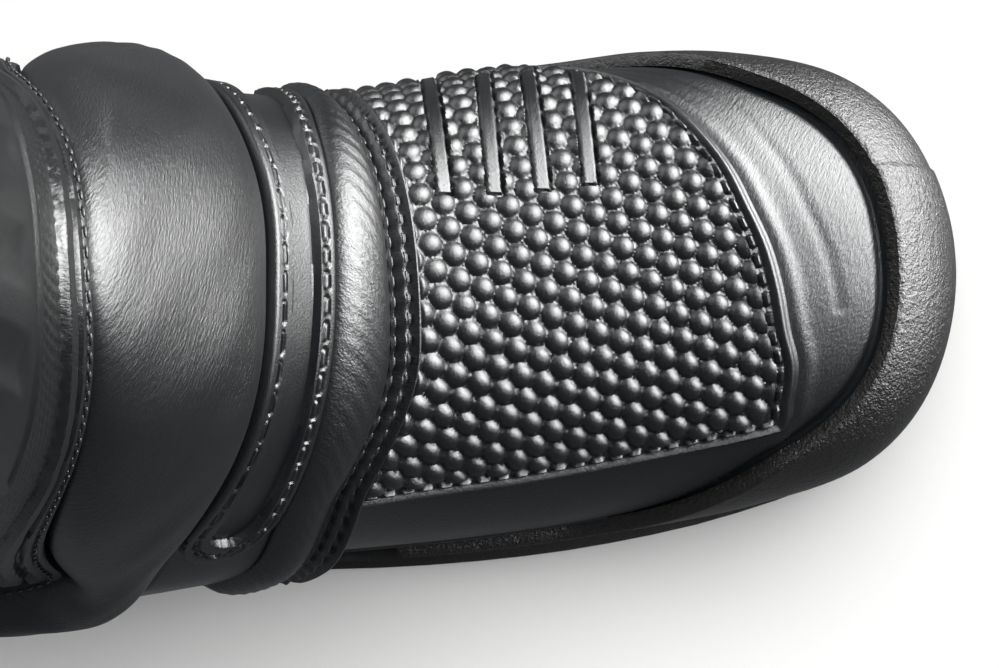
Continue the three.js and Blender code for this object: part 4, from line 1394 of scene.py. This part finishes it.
@dataclass
class Sole:
    """The sole: lugged outsole, midsole wall and the pebbled rand round the toe."""

    shop: Workshop
    rand_reach: float = 7.2  # how far back the rand runs on each side, in stations

    @staticmethod
    def _rand(at: Field) -> Array:
        """The rand: a full wall with a crisp upper lip and one step where the mould parted.

        Args:
            at: The grid.

        Returns:
            The heights in millimetres.
        """
        parting = 0.5 * smoothstep(21.8, 22.3, at.point[..., 1])
        ends = rounded(np.minimum(at.left, at.right), 12)
        return 0.2 + (3.5 - parting) * rounded(at.head, 1.3) * ends

    def build(self) -> None:
        """Make the sole."""
        shop = self.shop
        patch = SolePatch(lambda x: feather_line(x) - 2.5, rand_top, self.rand_reach)
        rand = shop.lay("toe_rand_rubber", patch, 0.1, self._rand, RAND_RUBBER, "rand_rubber", ["toe_rand"],
                        cell=0.7, bend=False)
        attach(rand, Body.FOOT.value)
        shop.copied("outsole", "lugged_outsole", SOLE_RUBBER, "sole_rubber", 0.7, Body.FOOT)
        shop.copied("midsole", "midsole_wall", SOLE_RUBBER, "sole_rubber", 0.5, Body.FOOT)


@dataclass
class Zip:
    """The side zip: tapes, separate teeth, stops, slider and pull."""

    shop: Workshop
    tooth_pitch: float = 1.9

    def build(self) -> None:
        """Make the zip."""
        shop, last = self.shop, self.shop.last
        for end in ("front", "rear"):
            shop.copied(f"zip_tape_{end}", f"twill_tape_{end}", TAPE, "zip_tape", 0.15)
            self._teeth(end, 1.0 if end == "front" else -1.0)
            shop.copied(f"zip_top_stop_{end}", f"top_stop_{end}", ZINC, "zip_metal", 0.3, Body.SHAFT)
        shop.copied("zip_bottom_stop", "bottom_stop", ZINC, "zip_metal", 0.3)
        shop.copied("zip_slider", "slider_casting", ZINC, "zip_metal", 0.4, Body.SLIDER)
        shop.copied("zip_pull", "pull_casting", ZINC, "zip_metal", 0.5, Body.PULL)
        LOG.info("zip length %.1f mm", last.zip_length)

    def _teeth(self, end: str, side: float) -> None:
        """Set one row of teeth along the slot.

        Args:
            end: Which tape, front or rear.
            side: 1 for the front tape, -1 for the rear one.
        """
        last = self.shop.last
        bm = bmesh.new()
        first = 1.5 + (0 if side > 0 else self.tooth_pitch / 2)
        for z in np.arange(first, last.zip_length, self.tooth_pitch):
            for size, x, y in (((2.4, 2.0, 1.15), 1.9, -1.3), ((1.2, 1.3, 1.5), 0.85, -1.2)):
                scale = Matrix.Diagonal((*(s * MM for s in size), 1.0))
                bmesh.ops.create_uvsphere(bm, u_segments=8, v_segments=5, radius=0.5,
                                          matrix=last.zip_matrix(side * x, y, z) @ scale)
        row = self.shop.finished(f"coil_{end}", bm, COIL, "zip_coil", 80)
        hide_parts(f"zip_teeth_{end}")
        self.shop.bend(row)


@dataclass
class ClosureTab:
    """The tab over the zip's head, with its fold, its base and the hook and loop patches."""

    shop: Workshop

    def build(self) -> None:
        """Make the tab."""
        shop, last = self.shop, self.shop.last
        shop.copied("closure_tab", "tab_leather", UPPER_LEATHER, "upper_leather", 0.7, Body.TAB)
        shop.copied("tab_base", "tab_base_leather", UPPER_LEATHER, "upper_leather", 0.7, Body.SHAFT)
        shop.copied("hook_patch", "hook_tape", HOOK, "hook_loop", 0.15, Body.TAB)
        shop.copied("loop_patch", "loop_tape", LOOP, "hook_loop", 0.2, Body.SHAFT)
        fold = shop.copied("tab_fold", "tab_fold_leather", UPPER_LEATHER, "upper_leather", 0.0, Body.SHAFT)
        LOG.info("%s folds at %s", fold.name, tuple(round(c, 4) for c in last.zip_point(10, 4, 177)))


@dataclass
class Studio:
    """The pale floor, the soft light and the camera."""

    last: Last
    azimuth_deg: float = -4.763
    elevation_deg: float = 85.874
    roll_deg: float = 0.822
    distance: float = 523.886
    target: tuple[float, float, float] = (202.738, -8.996, 81.505)
    lens: float = 93.34
    top_from: tuple[float, float, float] = (0.20, 0.30, 0.95)
    top_strength: float = 3.7
    side_from: tuple[float, float, float] = (0.84, 0.43, 0.32)
    side_strength: float = 25.0
    rear_from: tuple[float, float, float] = (-0.55, 0.72, 0.30)
    rear_strength: float = 3.0
    spread_deg: float = 62.0
    fill_strength: float = 0.22
    backdrop_strength: float = 0.85

    def build(self) -> None:
        """Set the stage."""
        bm = bmesh.new()
        bmesh.ops.create_grid(bm, x_segments=8, y_segments=8, size=8.0)
        mesh = bpy.data.meshes.new("studio_floor")
        bm.to_mesh(mesh)
        bm.free()
        floor = bpy.data.objects.new("studio_floor", mesh)
        bpy.context.scene.collection.objects.link(floor)
        mesh.materials.append(PAPER.build())
        # The paper throws no light back up, as a dark table under the boot would not.
        floor.visible_diffuse = floor.visible_glossy = floor.visible_shadow = False
        world = bpy.data.worlds.new("studio_light")
        bpy.context.scene.world = world
        world.use_nodes = True
        tree = world.node_tree
        seen = add_node(tree, "ShaderNodeLightPath").outputs["Is Camera Ray"]
        strength = add_node(tree, "ShaderNodeMapRange", {
            "Value": seen, "To Min": self.fill_strength, "To Max": self.backdrop_strength})
        tree.nodes["Background"].inputs["Color"].default_value = srgb("#eef1f5")
        tree.links.new(strength.outputs[0], tree.nodes["Background"].inputs["Strength"])
        top = self._softbox("top_light", self.top_from, self.top_strength)
        top.visible_glossy = False
        side = self._softbox("side_light", self.side_from, self.side_strength)
        rear = self._softbox("rear_light", self.rear_from, self.rear_strength)
        side.visible_diffuse = rear.visible_diffuse = False
        bpy.context.scene.view_settings.view_transform = "Standard"
        self._camera()

    def _softbox(self, name: str, direction: tuple[float, float, float], strength: float) -> bpy.types.Object:
        """Hang a broad distant light that shines from a direction.

        Args:
            name: Name of the light.
            direction: Way from the boot to the light.
            strength: Light that falls on a surface facing it, in watts per square metre.

        Returns:
            The light's object.
        """
        lamp = bpy.data.lights.new(name, "SUN")
        lamp.energy = strength
        lamp.angle = math.radians(self.spread_deg)
        light = bpy.data.objects.new(name, lamp)
        light.rotation_euler = Vector(direction).to_track_quat("Z", "Y").to_euler()
        bpy.context.scene.collection.objects.link(light)
        return light

    def _camera(self) -> None:
        """Place the camera nearly straight above the foot."""
        az, el, roll = (math.radians(a) for a in (self.azimuth_deg, self.elevation_deg, self.roll_deg))
        back = Vector((math.sin(az) * math.cos(el), -math.cos(az) * math.cos(el), math.sin(el)))
        level_right = (-back).cross(Vector((0, 0, 1))).normalized()
        level_up = level_right.cross(-back)
        right = level_right * math.cos(roll) + level_up * math.sin(roll)
        up = level_up * math.cos(roll) - level_right * math.sin(roll)
        lens = bpy.data.cameras.new("overhead_camera")
        lens.lens = self.lens
        lens.sensor_width = 36.0
        camera = bpy.data.objects.new("overhead_camera", lens)
        axes = Matrix([right, up, back]).transposed().to_4x4()
        stand = self.last.to_row(self.target) + back * self.distance * MM
        camera.matrix_world = Matrix.Translation(stand) @ axes
        bpy.context.scene.collection.objects.link(camera)
        bpy.context.scene.camera = camera


def main() -> None:
    """Build the boot piece by piece."""
    logging.basicConfig(level=logging.INFO, format="%(name)s: %(message)s")
    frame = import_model()
    ankle = next(joint for joint in frame["joints"] if joint["name"] == "ankle_flex")["pos_m"]
    last = Last(ankle)
    shop = Workshop(frame, last)
    Studio(last).build()
    for part in (FootUpper(shop), ShiftPad(shop), InstepSeam(shop), FlexZone(shop), Shaft(shop),
                 Inside(shop), Sole(shop), Zip(shop), ClosureTab(shop)):
        LOG.info("building %s", type(part).__name__)
        part.build()


if __name__ == "__main__":
    main()
